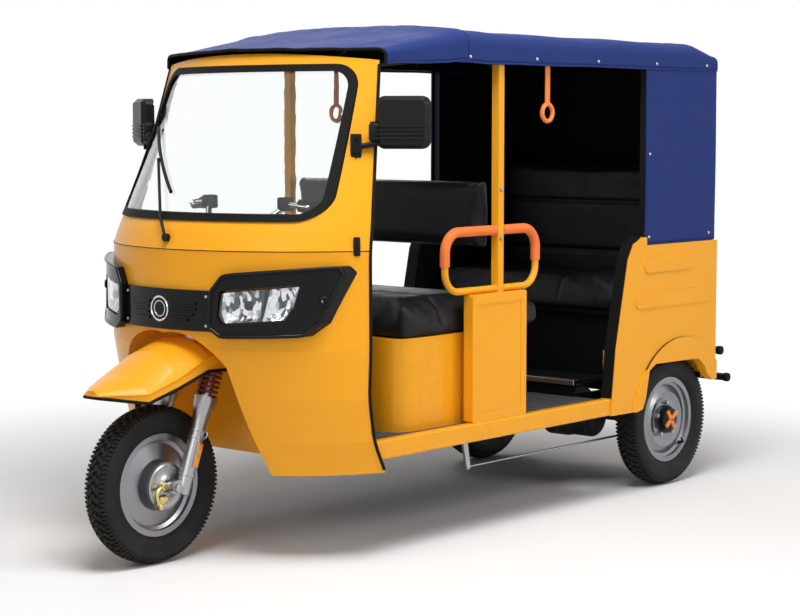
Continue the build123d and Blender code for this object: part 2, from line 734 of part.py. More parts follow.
with BuildPart() as tail_lamps:
    block(330, 460, REAR_FACE + SEAT_GAP, REAR_FACE + 28, 690, 790)
    fillet(tail_lamps.edges().filter_by(Axis.Y), radius=14)
    mirror(about=Plane.YZ)
finish(tail_lamps, "tail_lamps")

BUMPER_RADIUS = 16
BUMPER_HALF = 500
BUMPER_STUB = 312
BUMPER_LOW = 385
BUMPER_HIGH = 500
BUMPER_LOW_AT = OVERALL_LENGTH - TYRE_RADIUS - BUMPER_RADIUS
BUMPER_HIGH_AT = 2622
with BuildPart() as rear_bumper:
    for place, height in ((BUMPER_LOW_AT, BUMPER_LOW), (BUMPER_HIGH_AT, BUMPER_HIGH)):
        rod((-BUMPER_HALF, aft(place), height), (BUMPER_HALF, aft(place), height), BUMPER_RADIUS - 1)
        rod((-BUMPER_STUB, aft(place), height), (BUMPER_STUB, aft(place), height), BUMPER_RADIUS)
    for side in (1, -1):
        with BuildSketch(Plane.YZ.offset(side * 300 - 6)):
            with BuildLine():
                Polyline(
                    (aft(REAR_FACE + SEAT_GAP), 410), (aft(REAR_FACE + SEAT_GAP), 515),
                    (aft(BUMPER_HIGH_AT), 512), (aft(BUMPER_LOW_AT + 8), 396), (aft(BUMPER_LOW_AT), 374),
                    (aft(2600), 380), close=True,
                )
            make_face()
        extrude(amount=12)
finish(rear_bumper, "rear_bumper")

# Passenger seat on its raised platform
BASE_HALF = HOUSE_IN - 2
with BuildPart() as passenger_seat_base:
    block(-BASE_HALF, BASE_HALF, 1795, 2488, PLATFORM_TOP - 15, PLATFORM_TOP)
    block(-BASE_HALF, BASE_HALF, 1795, FLOOR_END, FLOOR_TOP, PLATFORM_TOP)
    block(-BASE_HALF, BASE_HALF, 2010, 2030, PLATFORM_TOP, SEAT_TOP - 15)
    block(-BASE_HALF, BASE_HALF, 2468, 2488, PLATFORM_TOP, SEAT_TOP - 15)
    block(-WALL_IN + 2, WALL_IN - 2, 1990, 2488, SEAT_TOP - 15, SEAT_TOP)
finish(passenger_seat_base, "passenger_seat_base")

PASSENGER_CUSHIONS = [
    Cushion(470, 1960, 2380, SEAT_TOP + SEAT_GAP, 820),
    Cushion(470, 2390, REAR_FACE - REAR_SHEET - SEAT_GAP, SEAT_TOP + SEAT_GAP, 1290),
]
with BuildPart() as passenger_seat:
    for pad in PASSENGER_CUSHIONS:
        block(-pad.half_width, pad.half_width, pad.front, pad.back, pad.low, pad.high)
    fillet(passenger_seat.edges(), radius=18)
finish(passenger_seat, "passenger_seat")

# Rear axle with the differential, its gear case, the drive motor and the leaf springs
DIFF_RADIUS = 112
MOTOR_AT = WHEELBASE - 150
MOTOR_RADIUS = 82
CASE_SIDE = 70
with BuildPart() as rear_axle:
    rod((-385, REAR_AXLE_Y, AXLE_Z), (385, REAR_AXLE_Y, AXLE_Z), 30)
    shaft_end = REAR_WHEEL_X + 20
    rod((-shaft_end, REAR_AXLE_Y, AXLE_Z), (shaft_end, REAR_AXLE_Y, AXLE_Z), REAR_SHAFT_RADIUS)
    rod((-CASE_SIDE, REAR_AXLE_Y, AXLE_Z), (CASE_SIDE - 25, REAR_AXLE_Y, AXLE_Z), DIFF_RADIUS)
    circles = rear_axle.edges().filter_by(GeomType.CIRCLE)
    fillet(circles.filter_by(lambda edge: abs(edge.radius - DIFF_RADIUS) < 0.01), 35)
    with BuildSketch(Plane.YZ.offset(CASE_SIDE - 30)):
        with Locations((REAR_AXLE_Y, AXLE_Z)):
            Circle(92)
        with Locations((aft(MOTOR_AT), AXLE_Z + 5)):
            Circle(MOTOR_RADIUS + 6)
        make_hull()
    extrude(amount=30)
    for side in (1, -1):
        rod((side * 376, REAR_AXLE_Y, AXLE_Z), (side * 386, REAR_AXLE_Y, AXLE_Z), 100)
        block(
            min(side * (LEAF_X - 22), side * (LEAF_X + 14)), max(side * (LEAF_X - 22), side * (LEAF_X + 14)),
            WHEELBASE - 40, WHEELBASE + 40, AXLE_Z, 292,
        )
finish(rear_axle, "rear_axle")

with BuildPart() as drive_motor:
    with BuildSketch(Plane.YZ.offset(CASE_SIDE)):
        with Locations((aft(MOTOR_AT), AXLE_Z + 5)):
            Circle(MOTOR_RADIUS)
    extrude(amount=175)
    fillet(drive_motor.faces().sort_by(Axis.X)[-1].edges(), radius=15)
finish(drive_motor, "drive_motor")

LEAF_MID = 292 + SEAT_GAP
with BuildPart() as leaf_springs:
    with BuildSketch(Plane.YZ.offset(LEAF_X - LEAF_HALF_WIDTH)):
        with BuildLine():
            ends = (aft(WHEELBASE - LEAF_HALF_SPAN - 18), aft(WHEELBASE + LEAF_HALF_SPAN + 18))
            ThreePointArc((ends[0], 340), (REAR_AXLE_Y, LEAF_MID), (ends[1], 340))
            Line((ends[1], 340), (ends[1], 352))
            ThreePointArc((ends[1], 352), (REAR_AXLE_Y, LEAF_MID + 26), (ends[0], 352))
            Line((ends[0], 352), (ends[0], 340))
        make_face()
    extrude(amount=2 * LEAF_HALF_WIDTH)
    mirror(about=Plane.YZ)
finish(leaf_springs, "leaf_springs")

# Brake pull rods under the floor and the foot pedal
LEVER_X = 380
with BuildPart() as brake_linkage:
    rod((RAIL_X + RAIL_WIDTH / 2 + SEAT_GAP, aft(1119), 338), (LEVER_X + 8, aft(1119), 338), 9)
    with BuildSketch(Plane.YZ.offset(LEVER_X - 5)):
        with Locations((aft(1119), 338)):
            Circle(14)
        with Locations((aft(1147), 205)):
            Circle(10)
        make_hull()
    extrude(amount=10)
    rod((LEVER_X, aft(1147), 205), (LEVER_X, aft(2160), 205), 4)
    mirror(about=Plane.YZ)
    block(-130, -60, 540, 550, FLOOR_TOP + 40, FLOOR_TOP + 110)
    block(-104, -86, 540, 556, FLOOR_TOP, FLOOR_TOP + 60)
finish(brake_linkage, "brake_linkage")

# Front fork: sliders, axle lugs and axle in one, springs, and the yoke with the stem
with BuildPart() as fork_legs:
    with BuildSketch(steer_plane.offset(-30)):
        with Locations((LEG_X, 0), (-LEG_X, 0)):
            Circle(SLIDER_RADIUS)
    extrude(amount=SLIDER_TOP + 30)
    with BuildSketch(steer_plane.offset(SLIDER_TOP)):
        with Locations((LEG_X, 0), (-LEG_X, 0)):
            Circle(COLLAR_RADIUS)
    extrude(amount=COLLAR_HEIGHT)
    with BuildSketch(steer_plane.offset(SLIDER_TOP)):
        with Locations((LEG_X, 0), (-LEG_X, 0)):
            Circle(FORK_TUBE_RADIUS)
    extrude(amount=YOKE_LOW - SLIDER_TOP)
    for x in (LEG_X - 11, -LEG_X - 11):
        with BuildSketch(Plane.YZ.offset(x)):
            with Locations((aft(0), AXLE_Z)):
                Circle(20)
            with Locations((aft(AXLE_LEAD), AXLE_Z)):
                Circle(SLIDER_RADIUS)
            make_hull()
        extrude(amount=22)
    rod((-LEG_X - 22, aft(0), AXLE_Z), (LEG_X + 22, aft(0), AXLE_Z), FRONT_AXLE_RADIUS)
finish(fork_legs, "fork_legs")

with BuildPart() as fork_springs:
    with BuildSketch(steer_plane.offset(SLIDER_TOP + COLLAR_HEIGHT)):
        with Locations((LEG_X, 0), (-LEG_X, 0)):
            Circle(SPRING_RADIUS)
            Circle(FORK_TUBE_RADIUS + SEAT_GAP, mode=Mode.SUBTRACT)
    extrude(amount=YOKE_LOW - SLIDER_TOP - COLLAR_HEIGHT)
finish(fork_springs, "fork_springs")

with BuildPart() as fork_yoke:
    with BuildSketch(steer_plane.offset(YOKE_LOW)):
        with Locations((LEG_X, 0), (-LEG_X, 0)):
            Circle(YOKE_END_RADIUS)
        make_hull()
    extrude(amount=YOKE_THICK)
    with BuildSketch(steer_plane.offset(YOKE_LOW)):
        Circle(STEM_RADIUS)
    extrude(amount=BAR_AT - YOKE_LOW)
    with BuildSketch(steer_plane.offset(BAR_AT - 24)):
        Rectangle(90, 44)
    extrude(amount=48)
    rod(on_steer_axis(BAR_AT, -60), on_steer_axis(BAR_AT, 60), BAR_RADIUS + SEAT_GAP, Mode.SUBTRACT)
finish(fork_yoke, "fork_yoke")

# Handlebar and its grips
bar_middle = on_steer_axis(BAR_AT)
BAR_POINTS = [
    (335, aft(512), 1136), (190, aft(442), 1150), (85, bar_middle.Y, bar_middle.Z),
    (-85, bar_middle.Y, bar_middle.Z), (-190, aft(442), 1150), (-335, aft(512), 1136),
]
with BuildPart() as handlebar:
    tube(BAR_POINTS, 35, BAR_RADIUS)
finish(handlebar, "handlebar")

with BuildPart() as handlebar_grips:
    for tip, inner in ((BAR_POINTS[0], BAR_POINTS[1]), (BAR_POINTS[-1], BAR_POINTS[-2])):
        along = Vector(*inner) - Vector(*tip)
        step = along.normalized()
        start = Vector(*tip) - step * 4
        rod(start, start + step * 108, GRIP_RADIUS)
        rod(start + step * 100, start + step * 130, 21)
        rod(start - step * 5, start + step * 140, BAR_RADIUS + SEAT_GAP, Mode.SUBTRACT)
        rod(start, start + step * 3.7, GRIP_RADIUS)
finish(handlebar_grips, "handlebar_grips")

# Front mudguard, carried by the yoke: cross-sections from the tip back to the dome
GuardSection = namedtuple("GuardSection", "at half_width low side top")
GUARD_SECTIONS = [
    GuardSection(-248, 34, 564, 570, 586),
    GuardSection(-134, 139, 546, 574, 628),
    GuardSection(-20, 146, 580, 612, 692),
    GuardSection(110, 152, 626, 670, 731),
    GuardSection(226, 152, 622, 672, 728),
]
GUARD_SHEET = 4


def guard_loft(grow, drop, nose, tail, mode):
    """Loft the mudguard sections, grown outwards, into the running part builder."""
    outlines = []
    for number, section in enumerate(GUARD_SECTIONS):
        half = section.half_width + grow
        shift = {0: nose, len(GUARD_SECTIONS) - 1: tail}.get(number, 0)
        with BuildSketch(Plane.XZ.offset(-aft(section.at + shift))) as outline:
            with BuildLine():
                Line((half, section.low - drop), (half, section.side))
                ThreePointArc((half, section.side), (0, section.top + grow), (-half, section.side))
                Line((-half, section.side), (-half, section.low - drop))
                Line((-half, section.low - drop), (half, section.low - drop))
            make_face()
        outlines.append(outline.sketch.face())
    loft(outlines, ruled=True, mode=mode)


with BuildPart() as front_fender:
    guard_loft(0, 0, 0, 0, Mode.ADD)
    guard_loft(-GUARD_SHEET, 12, 6, 10, Mode.SUBTRACT)
    with BuildSketch(steer_plane.offset(YOKE_LOW + YOKE_THICK + SEAT_GAP)):
        with Locations((50, -32), (-50, -32)):
            Rectangle(24, 30)
    extrude(amount=33)
    with BuildSketch(steer_plane.offset(YOKE_LOW + YOKE_THICK)):
        Circle(STEM_RADIUS + 8)
    extrude(amount=90, mode=Mode.SUBTRACT)
finish(front_fender, "front_fender")


def wheel_plane(x, y):
    """Plane through a wheel's axle: its x runs along the axle and its y is the radius."""
    return Plane(origin=(x, y, AXLE_Z), x_dir=(1, 0, 0), z_dir=(0, -1, 0))


def tyre_outline():
    """Half section of a tyre, as a flat sketch to add."""
    bead = RIM_HALF_WIDTH - RIM_SHEET - SEAT_GAP
    half = TYRE_WIDTH / 2
    seat = RIM_SEAT_RADIUS + SEAT_GAP
    lip = RIM_FLANGE_RADIUS + 1
    shoulder = TYRE_RADIUS - 11
    with BuildSketch() as outline:
        with BuildLine():
            Polyline((0, seat), (bead, seat), (bead, lip), (bead + 6, lip + 3))
            ThreePointArc((bead + 6, lip + 3), (half, 206), (half - 6, shoulder))
            TangentArc((0, TYRE_RADIUS), (half - 6, shoulder), tangent=(1, 0))
            mirror(about=Plane.YZ)
        make_face()
    return outline.sketch


def rim_outline():
    """Half section of the pressed rim, as a flat sketch to add."""
    half = RIM_HALF_WIDTH
    seat = RIM_SEAT_RADIUS
    flange = RIM_FLANGE_RADIUS
    sheet = RIM_SHEET
    with BuildSketch() as outline:
        with BuildLine():
            Polyline(
                (0, seat - 12), (12, seat - 12), (17, seat), (half - sheet, seat), (half - sheet, flange),
                (half, flange), (half, seat - sheet), (20, seat - sheet), (15, seat - 12 - sheet),
                (0, seat - 12 - sheet),
            )
            mirror(about=Plane.YZ)
        make_face()
    return outline.sketch


with BuildPart() as front_tyre:
    with BuildSketch(wheel_plane(0, aft(0))):
        add(tyre_outline())
    revolve(axis=Axis((0, aft(0), AXLE_Z), (1, 0, 0)))
finish(front_tyre, "front_tyre")

# Front rim with two dished discs on a drum hub
with BuildPart() as front_rim:
    with BuildSketch(wheel_plane(0, aft(0))):
        add(rim_outline())
        with BuildLine():
            Polyline(
                (-13, 138), (-9, 138), (-15, 70), (15, 70), (9, 138), (13, 138), (24, 84),
                (FRONT_HUB_HALF, 78), (FRONT_HUB_HALF, FRONT_AXLE_RADIUS + BORE_GAP),
                (-FRONT_HUB_HALF, FRONT_AXLE_RADIUS + BORE_GAP), (-FRONT_HUB_HALF, 78), (-24, 84), close=True,
            )
        make_face()
    revolve(axis=Axis((0, aft(0), AXLE_Z), (1, 0, 0)))
finish(front_rim, "front_rim")

with BuildPart() as rear_tyre_left:
    with BuildSketch(wheel_plane(REAR_WHEEL_X, REAR_AXLE_Y)):
        add(tyre_outline())
    revolve(axis=Axis((0, REAR_AXLE_Y, AXLE_Z), (1, 0, 0)))
finish(rear_tyre_left, "rear_tyre_left")

# Rear rim with its pressed disc, brake drum and hub cap
with BuildPart() as rear_rim_left:
    with BuildSketch(wheel_plane(REAR_WHEEL_X, REAR_AXLE_Y)):
        add(rim_outline())
        with BuildLine():
            Polyline(
                (6, 138), (11, 138), (26, 108), (20, 84), (20, 56), (30, HUB_RADIUS), (42, HUB_RADIUS - 8),
                (42, 0), (24, 0), (24, REAR_SHAFT_RADIUS + BORE_GAP),
                (-58, REAR_SHAFT_RADIUS + BORE_GAP), (-58, DRUM_RADIUS), (12, DRUM_RADIUS), (20, 106),
                close=True,
            )
        make_face()
    revolve(axis=Axis((0, REAR_AXLE_Y, AXLE_Z), (1, 0, 0)))
finish(rear_rim_left, "rear_rim_left")

with BuildPart() as rear_tyre_right:
    mirror(rear_tyre_left.part, about=Plane.YZ)
finish(rear_tyre_right, "rear_tyre_right")

with BuildPart() as rear_rim_right:
    mirror(rear_rim_left.part, about=Plane.YZ)
finish(rear_rim_right, "rear_rim_right")
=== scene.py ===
"""Looks of an electric passenger tricycle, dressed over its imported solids.

Metres. +Z is up, the front looks along -Y, and +X is the vehicle's own left side.
Places along the vehicle are given as distances behind the front axle, turned to Y by aft().
"""
import logging
import math
from collections.abc import Callable, Iterable, Iterator, Sequence
from contextlib import contextmanager
from dataclasses import dataclass, replace
from enum import Enum
from itertools import pairwise

import bmesh
import bpy
from mathutils import Matrix, Vector, noise


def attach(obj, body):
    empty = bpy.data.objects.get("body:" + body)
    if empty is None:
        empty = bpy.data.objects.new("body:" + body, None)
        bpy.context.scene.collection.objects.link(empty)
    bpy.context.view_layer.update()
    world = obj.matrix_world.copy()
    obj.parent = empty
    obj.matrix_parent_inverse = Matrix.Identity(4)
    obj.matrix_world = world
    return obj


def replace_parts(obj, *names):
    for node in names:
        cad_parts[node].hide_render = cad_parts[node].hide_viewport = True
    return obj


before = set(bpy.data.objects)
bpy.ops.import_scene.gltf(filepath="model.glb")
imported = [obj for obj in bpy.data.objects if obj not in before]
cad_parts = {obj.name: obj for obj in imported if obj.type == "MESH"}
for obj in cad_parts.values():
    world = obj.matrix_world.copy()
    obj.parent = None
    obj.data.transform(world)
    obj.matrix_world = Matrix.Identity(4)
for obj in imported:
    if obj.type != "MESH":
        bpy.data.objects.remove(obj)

log = logging.getLogger("tricycle")

Piece = bpy.types.Object
Point = tuple[float, float, float]
Profile = Sequence[tuple[float, float]]
Socket = bpy.types.NodeSocket

FRONT_AXLE_Y = -1.218
AXLE_Z = 0.257
WHEELBASE = 2.268
REAR_WHEEL_X = 0.450
STEER_TRAIL = 0.050
RAKE = math.radians(20)
SIDES = (1, -1)
ORIGIN = (0, 0, 0)
LEFT = (1, 0, 0)
UP = (0, 0, 1)


class Body(Enum):
    """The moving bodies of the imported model."""

    CAB = "body"
    STEERING = "steering"
    FRONT_WHEEL = "front_wheel"
    REAR_LEFT = "rear_wheel_left"
    REAR_RIGHT = "rear_wheel_right"


REAR_WHEELS = (("left", 1, Body.REAR_LEFT), ("right", -1, Body.REAR_RIGHT))


def aft(distance: float) -> float:
    """Y of a place this far behind the front axle."""
    return FRONT_AXLE_Y + distance


def on_steer_axis(along: float, x: float) -> Vector:
    """Point given along and beside the leaning steering axis.

    Args:
        along: Distance up the axis from axle height.
        x: Distance to the vehicle's left.

    Returns:
        The point in the vehicle's frame.
    """
    return Vector((x, aft(STEER_TRAIL) + along * math.sin(RAKE), AXLE_Z + along * math.cos(RAKE)))


# Modelling bench: what the sub-assemblies below are made with


def deselect() -> None:
    """Leave nothing selected, so that the next operator meets only its own piece."""
    if bpy.context.object and bpy.context.object.mode != "OBJECT":
        bpy.ops.object.mode_set(mode="OBJECT")
    bpy.ops.object.select_all(action="DESELECT")


def activate(obj: Piece) -> None:
    """Make one piece the only selected and active one."""
    deselect()
    obj.select_set(True)
    bpy.context.view_layer.objects.active = obj


def settle(name: str) -> Piece:
    """Name the object just added and move its place, turn and size into its mesh."""
    obj = bpy.context.object
    obj.name = name
    obj.data.name = name
    bpy.ops.object.transform_apply(location=True, rotation=True, scale=True)
    return obj


@contextmanager
def editing(obj: Piece, mode: str = "FACE") -> Iterator[bmesh.types.BMesh]:
    """Edit mode on one piece with nothing of it selected.

    Args:
        obj: The piece.
        mode: VERT, EDGE or FACE selection.

    Returns:
        The edit mesh, good until the first operator runs.
    """
    activate(obj)
    bpy.ops.object.mode_set(mode="EDIT")
    bpy.ops.mesh.select_mode(type=mode)
    bpy.ops.mesh.select_all(action="DESELECT")
    yield bmesh.from_edit_mesh(obj.data)
    bpy.ops.object.mode_set(mode="OBJECT")


def pick(elements: Iterable, test: Callable[..., bool]) -> None:
    """Select the faces, edges or vertices that pass the test."""
    for element in elements:
        if test(element):
            element.select_set(True)


def modify(obj: Piece, kind: str, **settings: object) -> Piece:
    """Add one modifier to a piece and apply it.

    Args:
        obj: The piece.
        kind: Blender's modifier type.
        settings: The modifier's own settings.

    Returns:
        The same piece.
    """
    activate(obj)
    modifier = obj.modifiers.new(kind.title(), kind)
    for name, value in settings.items():
        setattr(modifier, name, value)
    bpy.ops.object.modifier_apply(modifier=modifier.name)
    return obj


def soften(obj: Piece, angle: float = 35.0) -> Piece:
    """Shade a piece smooth, apart from edges sharper than the angle in degrees."""
    activate(obj)
    bpy.ops.object.shade_smooth_by_angle(angle=math.radians(angle))
    return obj


def block(name: str, low: Point, high: Point, round_by: float = 0.0, segments: int = 2) -> Piece:
    """Box between two corners with rounded edges.

    Args:
        name: Name of the piece.
        low: Lowest corner.
        high: Highest corner.
        round_by: Width of the edge rounding.
        segments: Facets of the rounding.

    Returns:
        The new piece.
    """
    deselect()
    middle = (Vector(low) + Vector(high)) / 2
    bpy.ops.mesh.primitive_cube_add(size=1, location=middle)
    bpy.context.object.scale = Vector(high) - Vector(low)
    obj = settle(name)
    if round_by:
        with editing(obj, "EDGE"):
            bpy.ops.mesh.select_all(action="SELECT")
            bpy.ops.mesh.bevel(offset=round_by, segments=segments, affect="EDGES")
        soften(obj)
    return obj


def disc(
    name: str, centre: Point, axis: Point, radius: float, depth: float, round_by: float = 0.0, sides: int = 32
) -> Piece:
    """Cylinder with rounded rims, centred on a point.

    Args:
        name: Name of the piece.
        centre: Its middle.
        axis: Direction of its axis.
        radius: Its radius.
        depth: Its length along the axis.
        round_by: Width of the rim rounding.
        sides: Facets round it.

    Returns:
        The new piece.
    """
    deselect()
    turn = Vector(UP).rotation_difference(Vector(axis)).to_euler()
    bpy.ops.mesh.primitive_cylinder_add(
        vertices=sides, radius=radius, depth=depth, location=centre, rotation=turn
    )
    obj = settle(name)
    if round_by:
        with editing(obj, "FACE") as mesh:
            pick(mesh.faces, lambda face: len(face.verts) == sides)
            bpy.ops.mesh.bevel(offset=round_by, segments=2, affect="EDGES")
    return soften(obj)


def lathe(name: str, profile: Profile, centre: Point, steps: int = 64, axis: Point = LEFT) -> Piece:
    """Spin a profile about an axis through a point.

    Args:
        name: Name of the piece.
        profile: Points as (distance along the axis, radius).
        centre: Point on the axis.
        steps: Facets round it.
        axis: Direction of the axis.

    Returns:
        The new piece.
    """
    deselect()
    along = Vector(axis).normalized()
    out = along.orthogonal().normalized()
    spots = [Vector(centre) + along * far + out * radius for far, radius in profile]
    bpy.ops.mesh.primitive_plane_add(size=0.001, location=spots[0])
    obj = settle(name)
    with editing(obj, "VERT"):
        bpy.ops.mesh.select_all(action="SELECT")
        bpy.ops.mesh.merge(type="CENTER")
        for start, end in pairwise(spots):
            bpy.ops.mesh.extrude_vertices_move(TRANSFORM_OT_translate={"value": end - start})
        bpy.ops.mesh.select_all(action="SELECT")
        bpy.ops.mesh.spin(steps=steps, angle=math.tau, center=centre, axis=along)
        bpy.ops.mesh.select_all(action="SELECT")
        bpy.ops.mesh.remove_doubles(threshold=1e-5)
        bpy.ops.mesh.normals_make_consistent(inside=False)
    return soften(obj)


def tube(
    name: str, points: Sequence[Point], radius: float, smooth: bool = True, closed: bool = False,
    sides: int = 3,
) -> Piece:
    """Round rod or edging that follows a line of points.

    Args:
        name: Name of the piece.
        points: The line.
        radius: Radius of the rod.
        smooth: Follow a smooth curve inside the points, not straight runs.
        closed: Join the ends.
        sides: Bevel resolution, a quarter of the facets round it.

    Returns:
        The new piece.
    """
    curve = bpy.data.curves.new(name, "CURVE")
    curve.dimensions = "3D"
    spline = curve.splines.new("NURBS" if smooth else "POLY")
    spline.points.add(len(points) - 1)
    for spot, place in zip(spline.points, points):
        spot.co = (*place, 1)
    spline.use_cyclic_u = closed
    if smooth:
        spline.order_u = 3
        spline.use_endpoint_u = not closed
        spline.resolution_u = 6
    curve.bevel_depth = radius
    curve.bevel_resolution = sides
    curve.use_fill_caps = not closed
    obj = bpy.data.objects.new(name, curve)
    bpy.context.scene.collection.objects.link(obj)
    activate(obj)
    bpy.ops.object.convert(target="MESH")
    return soften(bpy.context.object, 50)


def sheet_grid(
    name: str, columns: int, rows: int, size: tuple[float, float], place: Callable[[float, float], Vector]
) -> Piece:
    """Sheet whose points are laid one by one, with a UV map in metres.

    Args:
        name: Name of the piece.
        columns: Cells across.
        rows: Cells along.
        size: Width and length of the flat cloth, for the UV map.
        place: Where a point of the flat cloth goes, given its shares across and along.

    Returns:
        The new piece.
    """
    deselect()
    bpy.ops.mesh.primitive_grid_add(x_subdivisions=columns, y_subdivisions=rows, size=1)
    obj = settle(name)
    mesh = obj.data
    for loop in mesh.uv_layers.active.data:
        loop.uv = (loop.uv[0] * size[0], loop.uv[1] * size[1])
    for vertex in mesh.vertices:
        vertex.co = place(vertex.co.x + 0.5, vertex.co.y + 0.5)
    return soften(obj, 60)


def moved_copy(obj: Piece, name: str, matrix: Matrix) -> Piece:
    """Copy of a piece with its own mesh, moved by a matrix.

    Args:
        obj: The piece to copy.
        name: Name of the copy.
        matrix: Where it goes. A mirroring matrix keeps the faces outward.

    Returns:
        The copy.
    """
    copy = obj.copy()
    copy.data = obj.data.copy()
    copy.name = copy.data.name = name
    bpy.context.scene.collection.objects.link(copy)
    copy.data.transform(matrix)
    if matrix.determinant() < 0:
        copy.data.flip_normals()
    return copy


def join(pieces: Sequence[Piece], name: str) -> Piece:
    """Join several pieces into one named mesh."""
    activate(pieces[0])
    for other in pieces:
        other.select_set(True)
    if len(pieces) > 1:
        bpy.ops.object.join()
    pieces[0].name = pieces[0].data.name = name
    return pieces[0]


def repeat(obj: Piece, name: str, places: Sequence[Matrix]) -> Piece:
    """Copies of one piece at each place, joined into one, in place of the pattern piece."""
    made = [moved_copy(obj, f"{name}_{number}", place) for number, place in enumerate(places)]
    bpy.data.objects.remove(obj)
    return join(made, name)


def both_sides(obj: Piece, name: str) -> Piece:
    """A piece joined with its mirror image on the other side of the vehicle."""
    twin = moved_copy(obj, f"{name}_twin", Matrix.Scale(-1, 4, LEFT))
    return join([obj, twin], name)


def facing(spot: Vector, out: Vector) -> Matrix:
    """Matrix that lays a piece made at the origin, looking along +Z with its top along +Y, on a spot.

    Args:
        spot: Where the piece's origin goes.
        out: Where the piece looks to, level or nearly so.

    Returns:
        The matrix, which keeps the piece upright.
    """
    look = Vector(out).normalized()
    across = Vector(UP).cross(look).normalized()
    turn = Matrix((across, look.cross(across), look)).transposed().to_4x4()
    return Matrix.Translation(spot) @ turn


class CabSurface:
    """The cab's bowed outside: at each height one arc through the nose and both door edges.

    A section is (height, half width, nose, door edge), the last two as distances behind the front axle.
    """

    sections = (
        (0.288, 0.545, 0.150, 0.520), (0.400, 0.562, 0.123, 0.448), (0.540, 0.572, 0.090, 0.414),
        (0.700, 0.580, 0.052, 0.412), (1.015, 0.578, 0.058, 0.412), (1.075, 0.571, 0.085, 0.428),
        (1.655, 0.488, 0.439, 0.560),
    )

    @classmethod
    def section(cls, z: float) -> tuple[float, float, float]:
        """Half width, nose and door edge at a height, the last two as distances behind the front axle."""
        for low, high in pairwise(cls.sections):
            if z <= high[0]:
                share = (z - low[0]) / (high[0] - low[0])
                return tuple(start + share * (end - start) for start, end in zip(low[1:], high[1:]))
        return cls.sections[-1][1:]

    @classmethod
    def plan(cls, z: float) -> tuple[float, float]:
        """Centre of the arc at a height, as a distance behind the front axle, and its radius."""
        half, nose, edge = cls.section(z)
        depth = edge - nose
        radius = (half * half + depth * depth) / (2 * depth)
        return nose + radius, radius

    @classmethod
    def spot(cls, x: float, z: float, out: float = 0.0) -> Vector:
        """Point at this width and height, this far proud of the surface."""
        centre, radius = cls.plan(z)
        return Vector((x, aft(centre - math.sqrt((radius + out) ** 2 - x * x)), z))

    @classmethod
    def on(cls, x: float, z: float, out: float = 0.0) -> Matrix:
        """Matrix that lays an upright piece on the surface, looking out of it."""
        _, radius = cls.plan(z)
        return facing(cls.spot(x, z, out), Vector((x, -math.sqrt(radius * radius - x * x), 0)))

    @classmethod
    def door_edge(cls, z: float) -> Vector:
        """Point of the left door edge."""
        half, _, edge = cls.section(z)
        return Vector((half, aft(edge), z))


# Finishes: shared effects are node groups, and each material keeps its own shader


class Sketch:
    """A node tree being drawn up."""

    def __init__(self, tree: bpy.types.NodeTree) -> None:
        """Start from an empty tree."""
        self.tree = tree
        tree.nodes.clear()

    def node(self, kind: str, inputs: dict | None = None, **settings: object) -> bpy.types.Node:
        """Add a node.

        Args:
            kind: Node type, without its ShaderNode beginning.
            inputs: Values or sockets to link, by input name or number.
            settings: The node's own settings.

        Returns:
            The new node.
        """
        made = self.tree.nodes.new(kind if kind.startswith("NodeGroup") else "ShaderNode" + kind)
        for name, value in settings.items():
            setattr(made, name, value)
        for name, value in (inputs or {}).items():
            if isinstance(value, Socket):
                self.tree.links.new(value, made.inputs[name])
            else:
                made.inputs[name].default_value = value
        return made

    def sum(self, operation: str, first: object, second: object = 0.0, clamp: bool = False) -> Socket:
        """Result of a Math node."""
        return self.node("Math", {0: first, 1: second}, operation=operation, use_clamp=clamp).outputs[0]

    def noise(self, where: object, scale: object, detail: float = 3.0) -> Socket:
        """Value of a noise texture."""
        return self.node("TexNoise", {"Vector": where, "Scale": scale, "Detail": detail}).outputs[0]

    def spread(
        self, value: object, low: float, high: float, to_low: float = 0.0, to_high: float = 1.0
    ) -> Socket:
        """Value mapped smoothly from one range to another."""
        inputs = {"Value": value, "From Min": low, "From Max": high, "To Min": to_low, "To Max": to_high}
        return self.node("MapRange", inputs, interpolation_type="SMOOTHSTEP").outputs[0]

    def tint(self, share: object, first: object, second: object) -> Socket:
        """Colour mixed from two."""
        return self.node("Mix", {0: share, 6: first, 7: second}, data_type="RGBA").outputs[2]

    def group(self, tree: bpy.types.NodeTree, **inputs: object) -> bpy.types.Node:
        """A shared effect with its own values, named with _ for spaces."""
        named = {name.replace("_", " "): value for name, value in inputs.items()}
        return self.node("Group", named, node_tree=tree)


class Effect:
    """A shared effect, built once as a node group."""

    def __init__(self, name: str, inputs: dict[str, float], outputs: Sequence[str], draw: Callable) -> None:
        """Keep how the effect is drawn.

        Args:
            name: Name of the group.
            inputs: Float inputs with their usual values.
            outputs: Float outputs.
            draw: Takes the sketch and the group's input node, gives the output sockets in order.
        """
        self.name, self.inputs, self.outputs, self.draw = name, inputs, outputs, draw

    def tree(self) -> bpy.types.NodeTree:
        """The node group, made at its first use."""
        found = bpy.data.node_groups.get(self.name)
        if found:
            return found
        tree = bpy.data.node_groups.new(self.name, "ShaderNodeTree")
        for name, value in self.inputs.items():
            socket = tree.interface.new_socket(name, in_out="INPUT", socket_type="NodeSocketFloat")
            socket.default_value = value
        for name in self.outputs:
            tree.interface.new_socket(name, in_out="OUTPUT", socket_type="NodeSocketFloat")
        sketch = Sketch(tree)
        source = sketch.node("NodeGroupInput")
        sketch.node("NodeGroupOutput", dict(zip(self.outputs, self.draw(sketch, source))))
        return tree


